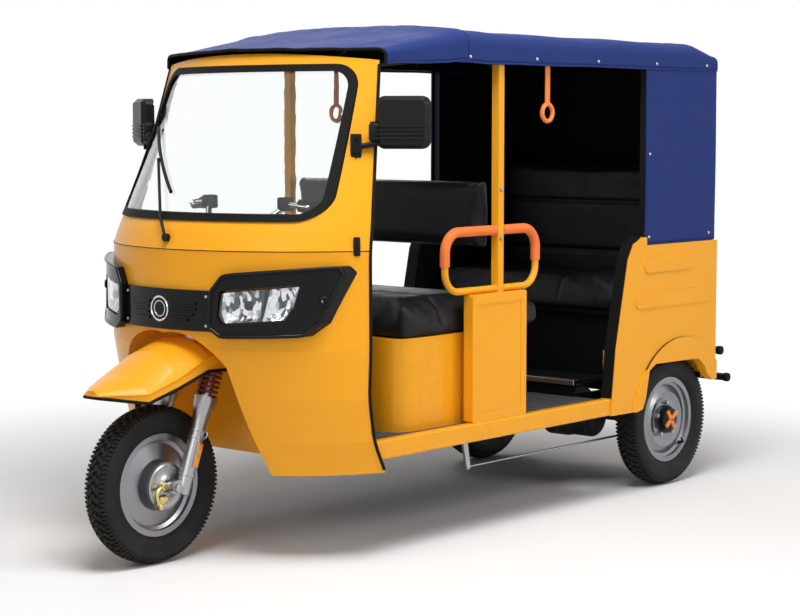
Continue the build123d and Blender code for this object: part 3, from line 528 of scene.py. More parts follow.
def draw_grain(sketch: Sketch, source: bpy.types.Node) -> tuple:
    """Fine moulded grain over broad, faint changes of tone."""
    where = sketch.node("TexCoord").outputs["Object"]
    fine = sketch.noise(where, source.outputs["Scale"], 2)
    broad = sketch.noise(where, 4.0, 4)
    tone = sketch.sum("MULTIPLY_ADD", broad, source.outputs["Variation"])
    return sketch.sum("ADD", tone, sketch.sum("MULTIPLY", fine, 0.1)), fine


def draw_hide(sketch: Sketch, source: bpy.types.Node) -> tuple:
    """Pebbled leathercloth: cells with rounded tops and creases between them."""
    where = sketch.node("TexCoord").outputs["Object"]
    cells = sketch.node(
        "TexVoronoi", {"Vector": where, "Scale": source.outputs["Scale"]}, feature="DISTANCE_TO_EDGE"
    )
    pebble = sketch.spread(cells.outputs["Distance"], 0.0, 0.18)
    crease = sketch.noise(where, 22.0, 5)
    return crease, sketch.sum("ADD", sketch.sum("MULTIPLY", pebble, 0.6), sketch.sum("MULTIPLY", crease, 0.8))


def draw_weave(sketch: Sketch, source: bpy.types.Node) -> tuple:
    """Coated plain weave on the cloth's own UV map, with slow changes of tone from handling."""
    cloth = sketch.node("TexCoord").outputs["UV"]
    parts = sketch.node("SeparateXYZ", {0: cloth})
    pitch = sketch.sum("MULTIPLY", source.outputs["Threads"], math.tau)
    across = sketch.sum("SINE", sketch.sum("MULTIPLY", parts.outputs[0], pitch))
    along = sketch.sum("SINE", sketch.sum("MULTIPLY", parts.outputs[1], pitch))
    thread = sketch.sum("MULTIPLY", across, along)
    slow = sketch.noise(cloth, 5.0, 6)
    folds = sketch.noise(sketch.node("Mapping", {"Vector": cloth, "Scale": (9, 2.5, 1)}).outputs[0], 1.0, 3)
    height = sketch.sum("ADD", sketch.sum("MULTIPLY", thread, 0.15), sketch.sum("MULTIPLY", folds, 2.0))
    return slow, height


def draw_dust(sketch: Sketch, source: bpy.types.Node) -> tuple:
    """Road dust that fades out with height above the ground, broken up by noise."""
    where = sketch.node("TexCoord").outputs["Object"]
    height = sketch.node("SeparateXYZ", {0: where}).outputs[2]
    rise = sketch.node(
        "MapRange",
        {"Value": height, "From Min": 0.0, "From Max": source.outputs["Reach"], "To Min": 1.0, "To Max": 0.0},
    ).outputs[0]
    patches = sketch.spread(sketch.noise(where, 14.0, 6), 0.35, 0.75)
    settled = sketch.sum("MULTIPLY", rise, patches)
    return (sketch.sum("MULTIPLY", settled, source.outputs["Amount"], clamp=True),)


def draw_inside(sketch: Sketch, source: bpy.types.Node) -> tuple:
    """Mask of the faces that look in towards a middle, from the surface normal."""
    normal = sketch.node("NewGeometry").outputs["True Normal"]
    where = sketch.node("TexCoord").outputs["Object"]
    centre = {1: source.outputs["Middle Y"], 2: source.outputs["Middle Z"]}
    middle = sketch.node("CombineXYZ", centre).outputs[0]
    out = sketch.node("VectorMath", {0: where, 1: middle}, operation="SUBTRACT").outputs[0]
    facing_out = sketch.node("VectorMath", {0: out, 1: normal}, operation="DOT_PRODUCT")
    return (sketch.spread(facing_out.outputs["Value"], -0.02, 0.0, 1.0, 0.0),)


def draw_wear(sketch: Sketch, source: bpy.types.Node) -> tuple:
    """Rubbed edges: where the surface is sharply curved and noise lets it through."""
    pointed = sketch.node("NewGeometry").outputs["Pointiness"]
    where = sketch.node("TexCoord").outputs["Object"]
    edge = sketch.spread(pointed, 0.52, 0.62)
    broken = sketch.spread(sketch.noise(where, 60.0, 5), 0.45, 0.7)
    return (sketch.sum("MULTIPLY", sketch.sum("MULTIPLY", edge, broken), source.outputs["Amount"]),)


GRAIN = Effect("moulded_grain", {"Scale": 900.0, "Variation": 0.1}, ("Tone", "Height"), draw_grain)
HIDE = Effect("leathercloth_hide", {"Scale": 420.0}, ("Tone", "Height"), draw_hide)
WEAVE = Effect("coated_weave", {"Threads": 700.0}, ("Tone", "Height"), draw_weave)
DUST = Effect("road_dust", {"Reach": 0.6, "Amount": 0.2}, ("Mask",), draw_dust)
INSIDE = Effect("facing_inside", {"Middle Y": -0.5, "Middle Z": 1.0}, ("Mask",), draw_inside)
WEAR = Effect("edge_wear", {"Amount": 0.5}, ("Mask",), draw_wear)

DUST_TONE = (0.36, 0.31, 0.24, 1)
LINING_TONE = (0.010, 0.010, 0.011, 1)


@dataclass(frozen=True)
class Finish:
    """A finish with a plain base colour and roughness, drawn with moulded grain.

    The fields of each kind of finish are the numbers that its material takes.
    """

    name: str
    slot: str
    tone: tuple[float, float, float]
    rough: float = 0.4
    metal: float = 0.0
    coat: float = 0.0
    grain: float = 900.0
    bump: float = 0.04
    dust: float = 0.0
    shine: float = 0.25

    def material(self) -> bpy.types.Material:
        """The finish's material, made at its first use."""
        name = f"{self.name}_finish"
        found = bpy.data.materials.get(name)
        if found:
            return found
        made = bpy.data.materials.new(name)
        made.use_nodes = True
        sketch = Sketch(made.node_tree)
        shader = sketch.node("BsdfPrincipled", {"Roughness": self.rough, "Metallic": self.metal})
        shader.inputs["Coat Weight"].default_value = self.coat
        shader.inputs["Coat Roughness"].default_value = 0.06
        shader.inputs["Specular IOR Level"].default_value = self.shine
        self.paint(sketch, shader)
        sketch.node("OutputMaterial", {"Surface": shader.outputs[0]})
        return made

    def shades(self, sketch: Sketch, tone: object, spread: float = 0.12) -> Socket:
        """Base colour varied between a darker and a lighter shade by a tone between 0 and 1."""
        dark = tuple(part * (1 - spread) for part in self.tone)
        light = tuple(min(1.0, part * (1 + spread)) for part in self.tone)
        return sketch.tint(tone, (*dark, 1), (*light, 1))

    def dusted(self, sketch: Sketch, colour: object) -> object:
        """Colour under the road dust of this finish."""
        if not self.dust:
            return colour
        return sketch.tint(sketch.group(DUST.tree(), Amount=self.dust).outputs["Mask"], colour, DUST_TONE)

    def raise_by(self, sketch: Sketch, shader: bpy.types.Node, height: object, distance: float) -> None:
        """Turn a height into the shader's normal."""
        bump = sketch.node("Bump", {"Height": height, "Strength": self.bump, "Distance": distance})
        sketch.tree.links.new(bump.outputs[0], shader.inputs["Normal"])

    def paint(self, sketch: Sketch, shader: bpy.types.Node) -> None:
        """Draw the finish into its material."""
        grain = sketch.group(GRAIN.tree(), Scale=self.grain)
        colour = self.dusted(sketch, self.shades(sketch, grain.outputs["Tone"]))
        sketch.tree.links.new(colour, shader.inputs["Base Color"])
        rough = sketch.spread(grain.outputs["Tone"], 0.0, 1.0, self.rough * 0.85, self.rough * 1.15)
        sketch.tree.links.new(rough, shader.inputs["Roughness"])
        self.raise_by(sketch, shader, grain.outputs["Height"], 0.001)


@dataclass(frozen=True)
class BodyPaint(Finish):
    """Gloss body paint, with a black lining on the faces that look in where asked."""

    lining: bool = False
    middle_y: float = -0.45
    middle_z: float = 1.0

    def paint(self, sketch: Sketch, shader: bpy.types.Node) -> None:
        """Draw paint, faint orange peel, rubbed edges, dust and the lining."""
        grain = sketch.group(GRAIN.tree(), Scale=self.grain, Variation=0.25)
        wear = sketch.group(WEAR.tree(), Amount=0.12)
        colour = self.shades(sketch, grain.outputs["Tone"], 0.05)
        colour = sketch.tint(wear.outputs["Mask"], colour, tuple(part * 0.6 for part in self.tone) + (1,))
        colour = self.dusted(sketch, colour)
        rough = sketch.spread(grain.outputs["Tone"], 0.0, 1.0, self.rough * 0.9, self.rough * 1.1)
        if self.lining:
            inside = sketch.group(INSIDE.tree(), Middle_Y=self.middle_y, Middle_Z=self.middle_z)
            inner = inside.outputs["Mask"]
            colour = sketch.tint(inner, colour, LINING_TONE)
            coat = sketch.sum("MULTIPLY", sketch.sum("SUBTRACT", 1.0, inner), self.coat)
            sketch.tree.links.new(coat, shader.inputs["Coat Weight"])
        sketch.tree.links.new(colour, shader.inputs["Base Color"])
        sketch.tree.links.new(rough, shader.inputs["Roughness"])
        self.raise_by(sketch, shader, grain.outputs["Height"], 0.0006)


@dataclass(frozen=True)
class Leathercloth(Finish):
    """Pebbled seat cover."""

    def paint(self, sketch: Sketch, shader: bpy.types.Node) -> None:
        """Draw the hide's grain and creases."""
        hide = sketch.group(HIDE.tree(), Scale=self.grain)
        sketch.tree.links.new(self.shades(sketch, hide.outputs["Tone"], 0.3), shader.inputs["Base Color"])
        rough = sketch.spread(hide.outputs["Tone"], 0.3, 0.7, self.rough * 0.85, self.rough * 1.2)
        sketch.tree.links.new(rough, shader.inputs["Roughness"])
        self.raise_by(sketch, shader, hide.outputs["Height"], 0.0012)


@dataclass(frozen=True)
class Canvas(Finish):
    """Coated roof canvas."""

    def paint(self, sketch: Sketch, shader: bpy.types.Node) -> None:
        """Draw the weave, its folds and the worn tone."""
        weave = sketch.group(WEAVE.tree(), Threads=self.grain)
        sketch.tree.links.new(self.shades(sketch, weave.outputs["Tone"], 0.16), shader.inputs["Base Color"])
        rough = sketch.spread(weave.outputs["Tone"], 0.2, 0.8, self.rough * 0.9, self.rough * 1.15)
        sketch.tree.links.new(rough, shader.inputs["Roughness"])
        self.raise_by(sketch, shader, weave.outputs["Height"], 0.002)


@dataclass(frozen=True)
class Clear(Finish):
    """Glass or a clear lens."""

    index: float = 1.45

    def paint(self, sketch: Sketch, shader: bpy.types.Node) -> None:
        """Draw clear material with a film of dust that only changes its roughness."""
        shader.inputs["Base Color"].default_value = (*self.tone, 1)
        shader.inputs["Transmission Weight"].default_value = 1.0
        shader.inputs["IOR"].default_value = self.index
        where = sketch.node("TexCoord").outputs["Object"]
        film = sketch.spread(sketch.noise(where, 6.0, 5), 0.55, 0.9, 0.0, self.rough)
        sketch.tree.links.new(film, shader.inputs["Roughness"])


@dataclass(frozen=True)
class Ribbed(Finish):
    """Moulded lamp lens with fine upright ribs."""

    def paint(self, sketch: Sketch, shader: bpy.types.Node) -> None:
        """Draw ribs across the lens over its colour."""
        where = sketch.node("TexCoord").outputs["Object"]
        across = sketch.node("SeparateXYZ", {0: where}).outputs[0]
        rib = sketch.sum("SINE", sketch.sum("MULTIPLY", across, self.grain))
        tone = sketch.spread(rib, -1.0, 1.0)
        sketch.tree.links.new(self.shades(sketch, tone, 0.25), shader.inputs["Base Color"])
        self.raise_by(sketch, shader, tone, 0.001)


@dataclass(frozen=True)
class GlintPaintedFacets(Finish):
    """Bright lamp reflector pressed in small facets, with painted reflections: each facet's base colour is
    made lighter or darker to stand in for the bright or dark surroundings mirrored in it.
    """

    def paint(self, sketch: Sketch, shader: bpy.types.Node) -> None:
        """Draw the facets' painted reflection tones and their tilt."""
        where = sketch.node("TexCoord").outputs["Object"]
        slant = {"Vector": where, "Rotation": (0, 0.5, 0), "Scale": (1.0, 0.6, 0.5)}
        long = sketch.node("Mapping", slant).outputs[0]
        cells = sketch.node("TexVoronoi", {"Vector": long, "Scale": self.grain, "Randomness": 0.9})
        parts = sketch.node("SeparateColor", {0: cells.outputs["Color"]})
        # Painted reflections: facet tones lighten or darken the chrome colour from 0.15 to 1.85 times, in
        # place of what each facet mirrors.
        tone = sketch.spread(parts.outputs[0], 0.15, 0.75)
        sketch.tree.links.new(self.shades(sketch, tone, 0.85), shader.inputs["Base Color"])
        self.raise_by(sketch, shader, cells.outputs["Distance"], 0.004)


PAINT_TONE = (0.86, 0.365, 0.012)

YELLOW = BodyPaint(
    "yellow_gloss", "yellow_paint", PAINT_TONE, 0.30, coat=0.16, grain=700, dust=0.05, shine=0.15
)
YELLOW_CAB = replace(YELLOW, name="yellow_gloss_cab", lining=True)
YELLOW_REAR = replace(YELLOW_CAB, name="yellow_gloss_rear", middle_y=aft(2.25), middle_z=0.75)
BLUE = Canvas("blue_canvas", "blue_canvas", (0.019, 0.036, 0.160), 0.6, grain=700, bump=0.35, shine=0.10)
LINING = Finish("black_lining", "black_plastic", (0.006, 0.006, 0.007), 0.8, grain=500, bump=0.1, shine=0.05)
BLACK_PAINT = Finish("black_satin_paint", "black_paint", (0.007, 0.007, 0.008), 0.38, dust=0.06, shine=0.15)
BLACK_PLASTIC = Finish(
    "black_moulding", "black_plastic", (0.006, 0.006, 0.007), 0.36, grain=1400, bump=0.08, shine=0.15
)
GLOSS_PLASTIC = Finish(
    "black_gloss_moulding", "black_plastic", (0.005, 0.005, 0.006), 0.18, coat=0.10, bump=0.01, shine=0.12
)
RUBBER = Finish("black_rubber", "black_rubber", (0.006, 0.006, 0.006), 0.6, grain=1100, bump=0.1, shine=0.1)
TYRE = Finish(
    "tyre_rubber", "tyre_rubber", (0.012, 0.012, 0.012), 0.6, grain=700, bump=0.2, dust=0.03, shine=0.15
)
GLASS = Clear("clear_glass", "clear_glass", (0.95, 0.985, 0.97), 0.03, shine=0.5)
LENS = Clear("clear_lens", "lamp_lens", (0.98, 0.99, 1.0), 0.03, shine=0.5)
MIRROR = Finish("mirror_face", "mirror_face", (0.86, 0.88, 0.90), 0.03, metal=1.0, bump=0.0, shine=0.5)
CHROME = Finish("bright_chrome", "bright_chrome", (0.62, 0.63, 0.64), 0.10, metal=1.0, grain=300, bump=0.01)
# Chrome reflector whose facet tones are painted reflections.
REFLECTOR = GlintPaintedFacets(
    "lamp_reflector_painted_glints", "bright_chrome", (0.42, 0.43, 0.45), 0.12, metal=1.0, grain=85, bump=0.5
)
SILVER = Finish("wheel_silver", "wheel_silver", (0.26, 0.265, 0.28), 0.26, metal=0.95, grain=800, dust=0.04)
ALLOY = Finish(
    "fork_alloy", "fork_alloy", (0.36, 0.365, 0.37), 0.28, metal=0.95, grain=700, bump=0.08, dust=0.04
)
SPRING = Finish("spring_red", "spring_red", (0.16, 0.010, 0.010), 0.3, coat=0.2)
HIDE_BLACK = Leathercloth(
    "black_leathercloth", "seat_cover", (0.007, 0.008, 0.010), 0.42, grain=520, bump=0.18, shine=0.2
)
FOAM = Finish("orange_foam", "orange_foam", (0.84, 0.19, 0.040), 0.6, grain=1500, bump=0.35)
ORANGE = Finish("orange_moulding", "orange_plastic", (0.84, 0.22, 0.035), 0.34, coat=0.2)
RED_LENS = Ribbed(
    "red_lens", "red_lens", (0.34, 0.006, 0.006), 0.2, coat=0.2, grain=900, bump=0.35, shine=0.2
)
AMBER_LENS = Ribbed(
    "amber_lens", "orange_plastic", (0.85, 0.26, 0.01), 0.2, coat=0.5, grain=1400, bump=0.3, shine=0.5
)
BATTERY = Finish("battery_case", "battery_case", (0.022, 0.024, 0.028), 0.6)
MAT = Finish("floor_mat", "floor_grey", (0.045, 0.046, 0.050), 0.7, grain=260, bump=0.6, dust=0.25)
IRON = Finish("axle_iron", "axle_iron", (0.018, 0.018, 0.020), 0.55, metal=0.3, grain=300, bump=0.4, dust=0.2)
BRASS = Finish("plated_brass", "bright_chrome", (0.62, 0.50, 0.22), 0.3, metal=1.0, grain=500, bump=0.05)
STEEL = Finish("bare_steel", "bright_chrome", (0.40, 0.40, 0.41), 0.3, metal=1.0, grain=400, bump=0.05)

NODE_FINISHES: dict[Finish, tuple[str, ...]] = {
    YELLOW: ("wheel_well", "door_posts", "post_panels", "seat_box", "sills", "front_fender"),
    YELLOW_CAB: ("front_cowl", "windscreen_surround"),
    YELLOW_REAR: ("quarter_panels", "rear_panel"),
    BLUE: ("canopy_roof", "canopy_curtains"),
    BLACK_PAINT: ("chassis_frame", "roof_frame", "wiper", "rear_bumper", "leaf_springs", "fork_yoke"),
    BLACK_PLASTIC: ("mirrors", "dashboard"),
    GLOSS_PLASTIC: ("headlamp_fascia",),
    RUBBER: ("windscreen_seal", "quarter_edge_trims", "handlebar_grips"),
    TYRE: ("front_tyre", "rear_tyre_left", "rear_tyre_right"),
    GLASS: ("windscreen_glass",),
    LENS: ("headlamps",),
    MIRROR: ("mirror_glasses",),
    CHROME: ("handlebar",),
    SILVER: ("front_rim", "rear_rim_left", "rear_rim_right"),
    ALLOY: ("fork_legs",),
    SPRING: ("fork_springs",),
    HIDE_BLACK: ("bench_cushions", "driver_backrest", "passenger_seat"),
    FOAM: ("grab_grips",),
    ORANGE: ("hand_straps",),
    RED_LENS: ("tail_lamps",),
    BATTERY: ("battery_pack",),
    MAT: ("floor_panel",),
    IRON: ("rear_axle", "drive_motor"),
    LINING: ("passenger_seat_base",),
    STEEL: ("brake_linkage",),
}


def dress(obj: Piece, finish: Finish, body: Body = Body.CAB) -> Piece:
    """Give a new piece its finish and the body that it rides on.

    Args:
        obj: The piece.
        finish: Its finish.
        body: The body that carries it.

    Returns:
        The same piece.
    """
    obj.data.materials.clear()
    obj.data.materials.append(finish.material())
    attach(obj, body.value)
    log.info("%s rides on %s in %s", obj.name, body.value, finish.name)
    return obj


def dress_nodes() -> None:
    """Give every CAD node its finish."""
    for finish, nodes in NODE_FINISHES.items():
        for node in nodes:
            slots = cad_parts[node].data.materials
            slots.clear()
            slots.append(finish.material())


# Stage


@dataclass
class Studio:
    """Pale floor, soft lamps, and the camera where the photograph was taken."""

    camera_place: Point = (4.7346, -5.437, 1.4223)
    camera_pitch: float = 5.398
    camera_yaw: float = 41.047
    lens: float = 88.73
    sensor: float = 36.0
    floor_half: float = 12.0
    floor_drop: float = 0.001
    floor_tone: float = 0.86
    fade: tuple[float, float] = (1.5, 3.4)
    ambient: float = 0.22
    aim: Point = (0, 0, 0.8)
    lamps: tuple[tuple[str, Point, float, float], ...] = (
        ("top", (1.8, -1.8, 5.4), 2.6, 265.0),
        ("front", (2.0, -6.0, 3.2), 3.0, 50.0),
        ("side", (5.8, 1.6, 3.4), 2.6, 115.0),
        ("back", (-4.5, 3.5, 4.2), 3.0, 60.0),
    )

    def build(self) -> None:
        """Set up the view, the light, the floor and the camera."""
        bpy.context.scene.view_settings.view_transform = "Standard"
        self.world()
        self.floor()
        for name, place, size, power in self.lamps:
            self.lamp(name, place, size, power)
        self.camera()

    def world(self) -> None:
        """White where it is seen or mirrored, and plain ambient light elsewhere."""
        world = bpy.data.worlds.new("studio")
        bpy.context.scene.world = world
        world.use_nodes = True
        sketch = Sketch(world.node_tree)
        seen = self.seen(sketch)
        level = sketch.spread(seen, 0.0, 1.0, self.ambient, 1.0)
        light = sketch.node("Background", {"Color": (1, 1, 1, 1), "Strength": level})
        sketch.node("OutputWorld", {"Surface": light.outputs[0]})

    @staticmethod
    def seen(sketch: Sketch) -> Socket:
        """One for rays that the camera sees straight, in a mirror or through glass."""
        path = sketch.node("LightPath")
        total = sketch.sum("ADD", path.outputs["Is Camera Ray"], path.outputs["Is Glossy Ray"])
        return sketch.sum("ADD", total, path.outputs["Is Transmission Ray"], clamp=True)

    def floor(self) -> None:
        """Pale floor that keeps the shadow near the vehicle and fades to white beyond."""
        deselect()
        bpy.ops.mesh.primitive_plane_add(size=2 * self.floor_half, location=(0, 0, -self.floor_drop))
        floor = settle("studio_floor")
        made = bpy.data.materials.new("studio_floor")
        made.use_nodes = True
        sketch = Sketch(made.node_tree)
        where = sketch.node("TexCoord").outputs["Object"]
        far = sketch.node("VectorMath", {0: where}, operation="LENGTH").outputs["Value"]
        fade = sketch.sum("MULTIPLY", sketch.spread(far, *self.fade), self.seen(sketch))
        shadowed = sketch.node("BsdfDiffuse", {"Color": (*[self.floor_tone] * 3, 1)})
        white = sketch.node("Emission", {"Color": (1, 1, 1, 1), "Strength": 1.0})
        mixed = sketch.node("MixShader", {0: fade, 1: shadowed.outputs[0], 2: white.outputs[0]})
        sketch.node("OutputMaterial", {"Surface": mixed.outputs[0]})
        floor.data.materials.append(made)

    def lamp(self, name: str, place: Point, size: float, power: float) -> None:
        """Add one soft square lamp that looks at the vehicle's middle."""
        light = bpy.data.lights.new(name, "AREA")
        light.size = size
        light.energy = power
        lamp = bpy.data.objects.new(name, light)
        bpy.context.scene.collection.objects.link(lamp)
        lamp.location = place
        lamp.rotation_euler = (Vector(self.aim) - Vector(place)).to_track_quat("-Z", "Y").to_euler()

    def camera(self) -> None:
        """Add the camera at the photograph's angle."""
        data = bpy.data.cameras.new("photo_view")
        data.lens = self.lens
        data.sensor_width = self.sensor
        data.sensor_fit = "HORIZONTAL"
        camera = bpy.data.objects.new("photo_view", data)
        bpy.context.scene.collection.objects.link(camera)
        camera.location = self.camera_place
        camera.rotation_euler = (math.radians(90 - self.camera_pitch), 0, math.radians(self.camera_yaw))
        bpy.context.scene.camera = camera


# Soft goods


@dataclass
class Pad:
    """A stuffed seat pad, swelled by a cloth simulation inside the space of its CAD solid."""

    name: str
    node: str
    low: Point
    high: Point
    round_by: float = 0.030
    shrink: float = 0.010
    voxel: float = 0.007
    cap: float = 0.022
    fill: float = 0.7
    held_axis: int = 2
    held_end: int = 0
    grooves: tuple[tuple[int, float], ...] = ()
    groove_depth: float = 0.010
    groove_width: float = 0.007
    pressure: float = 4.0
    stiffness: float = 12.0
    frames: int = 20

    def build(self) -> Piece:
        """Make the pad, swell it, sew its grooves and dress it."""
        corners = [[edge + self.shrink for edge in self.low], [edge - self.shrink for edge in self.high]]
        rest = (self.low, self.high)[self.held_end][self.held_axis]
        corners[self.held_end][self.held_axis] = rest
        pad = block(self.name, *corners, self.round_by, 4)
        pad.data.remesh_voxel_size = self.voxel
        activate(pad)
        bpy.ops.object.voxel_remesh()
        self.swell(pad, rest)
        modify(pad, "SMOOTH", factor=0.5, iterations=14)
        self.sew(pad)
        modify(pad, "SMOOTH", factor=0.5, iterations=2)
        modify(pad, "SUBSURF", levels=1, render_levels=1)
        soften(pad, 70)
        dress(pad, HIDE_BLACK)
        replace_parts(pad, self.node)
        return pad

    def swell(self, pad: Piece, rest: float) -> None:
        """Blow the pad up a little with cloth pressure, held flat where it rests.

        Args:
            pad: The pad before it is stuffed.
            rest: Place of its resting face along the held axis.
        """
        group = pad.vertex_groups.new(name="held")
        flat = [v.index for v in pad.data.vertices if abs(v.co[self.held_axis] - rest) < 0.6 * self.voxel]
        group.add(flat, 1.0, "REPLACE")
        start = [vertex.co.copy() for vertex in pad.data.vertices]
        cloth = pad.modifiers.new("Stuffing", "CLOTH")
        cloth.settings.vertex_group_mass = group.name
        cloth.settings.use_pressure = True
        cloth.settings.uniform_pressure_force = self.pressure
        cloth.settings.effector_weights.gravity = 0
        cloth.settings.quality = 4
        cloth.settings.bending_stiffness = self.stiffness
        cloth.collision_settings.use_collision = False
        cloth.point_cache.frame_end = self.frames
        for step in range(1, self.frames + 1):
            bpy.context.scene.frame_set(step)
        swollen = pad.evaluated_get(bpy.context.evaluated_depsgraph_get()).data
        spots = [vertex.co.copy() for vertex in swollen.vertices]
        pad.modifiers.remove(cloth)
        bpy.context.scene.frame_set(1)
        for vertex, before, after in zip(pad.data.vertices, start, spots):
            shift = after - before
            if shift.length > self.cap:
                shift = shift.normalized() * self.cap
            vertex.co = before + shift
        pad.vertex_groups.clear()

    def sew(self, pad: Piece) -> None:
        """Press sewn grooves into the pad. A back pad's hidden rear face moves with them."""
        held = self.held_axis
        side = 1 if self.held_end == 0 else -1
        base = 0.3 * (self.high[held] - self.low[held])
        for axis, at in self.grooves:
            for vertex in pad.data.vertices:
                gap = (vertex.co[axis] - at) / self.groove_width
                if side < 0 or abs(vertex.co[held] - self.low[held]) > base:
                    vertex.co[held] -= side * self.groove_depth * math.exp(-gap * gap)


class Seats:
    """Bench cushions, the driver's back board and the passenger seat."""

    pads = (
        Pad("driver_cushion", "bench_cushions", (-0.480, aft(0.690), 0.700), (0.480, aft(1.115), 0.822),
            grooves=((1, aft(0.905)),)),
        Pad("rear_facing_cushion", "bench_cushions", (-0.480, aft(1.195), 0.700), (0.480, aft(1.457), 0.790),
            round_by=0.026),
        Pad("driver_back_pad", "driver_backrest", (-0.450, aft(1.138), 0.976), (0.450, aft(1.182), 1.224),
            round_by=0.014, shrink=0.004, cap=0.010, fill=0.8, held_axis=1, held_end=1),
        Pad("passenger_cushion", "passenger_seat", (-0.470, aft(1.960), 0.700), (0.470, aft(2.380), 0.820),
            grooves=((0, -0.155), (0, 0.155))),
        Pad("passenger_back_pad", "passenger_seat", (-0.470, aft(2.390), 0.700), (0.470, aft(2.4895), 1.290),
            held_axis=1, held_end=1, grooves=((2, 0.900), (2, 1.100))),
    )

    def build(self) -> None:
        """Make every pad."""
        for pad in self.pads:
            pad.build()


@dataclass
class Station:
    """One cross-section of the canvas roof, at a distance behind the front axle."""

    at: float
    half: float
    low: float
    side: float
    shoulder_x: float
    shoulder: float
    top: float

    def towards(self, other: "Station", share: float) -> "Station":
        """Section part of the way to another."""
        mine, theirs = vars(self), vars(other)
        return Station(**{name: mine[name] + (theirs[name] - mine[name]) * share for name in mine})

    def spot(self, across: float) -> Vector:
        """Point of the section.

        Args:
            across: Share of the way from the left lower edge over the top to the right one.

        Returns:
            The point.
        """
        side = 1 if across < 0.5 else -1
        share = 1 - abs(2 * across - 1)
        if share < 0.14:
            x, z = self.half, self.low + (self.side - self.low) * share / 0.14
        elif share < 0.30:
            t = (share - 0.14) / 0.16
            swell_x = (self.half + self.shoulder_x) / 2 + 0.34 * (self.half - self.shoulder_x)
            swell_z = (self.side + self.shoulder) / 2 + 0.38 * (self.shoulder - self.side)
            x = (1 - t) ** 2 * self.half + 2 * t * (1 - t) * swell_x + t * t * self.shoulder_x
            z = (1 - t) ** 2 * self.side + 2 * t * (1 - t) * swell_z + t * t * self.shoulder
        else:
            x = self.shoulder_x * (1 - (share - 0.30) / 0.70)
            z = self.top - (self.top - self.shoulder) * (x / self.shoulder_x) ** 2
        return Vector((side * x, aft(self.at), z))


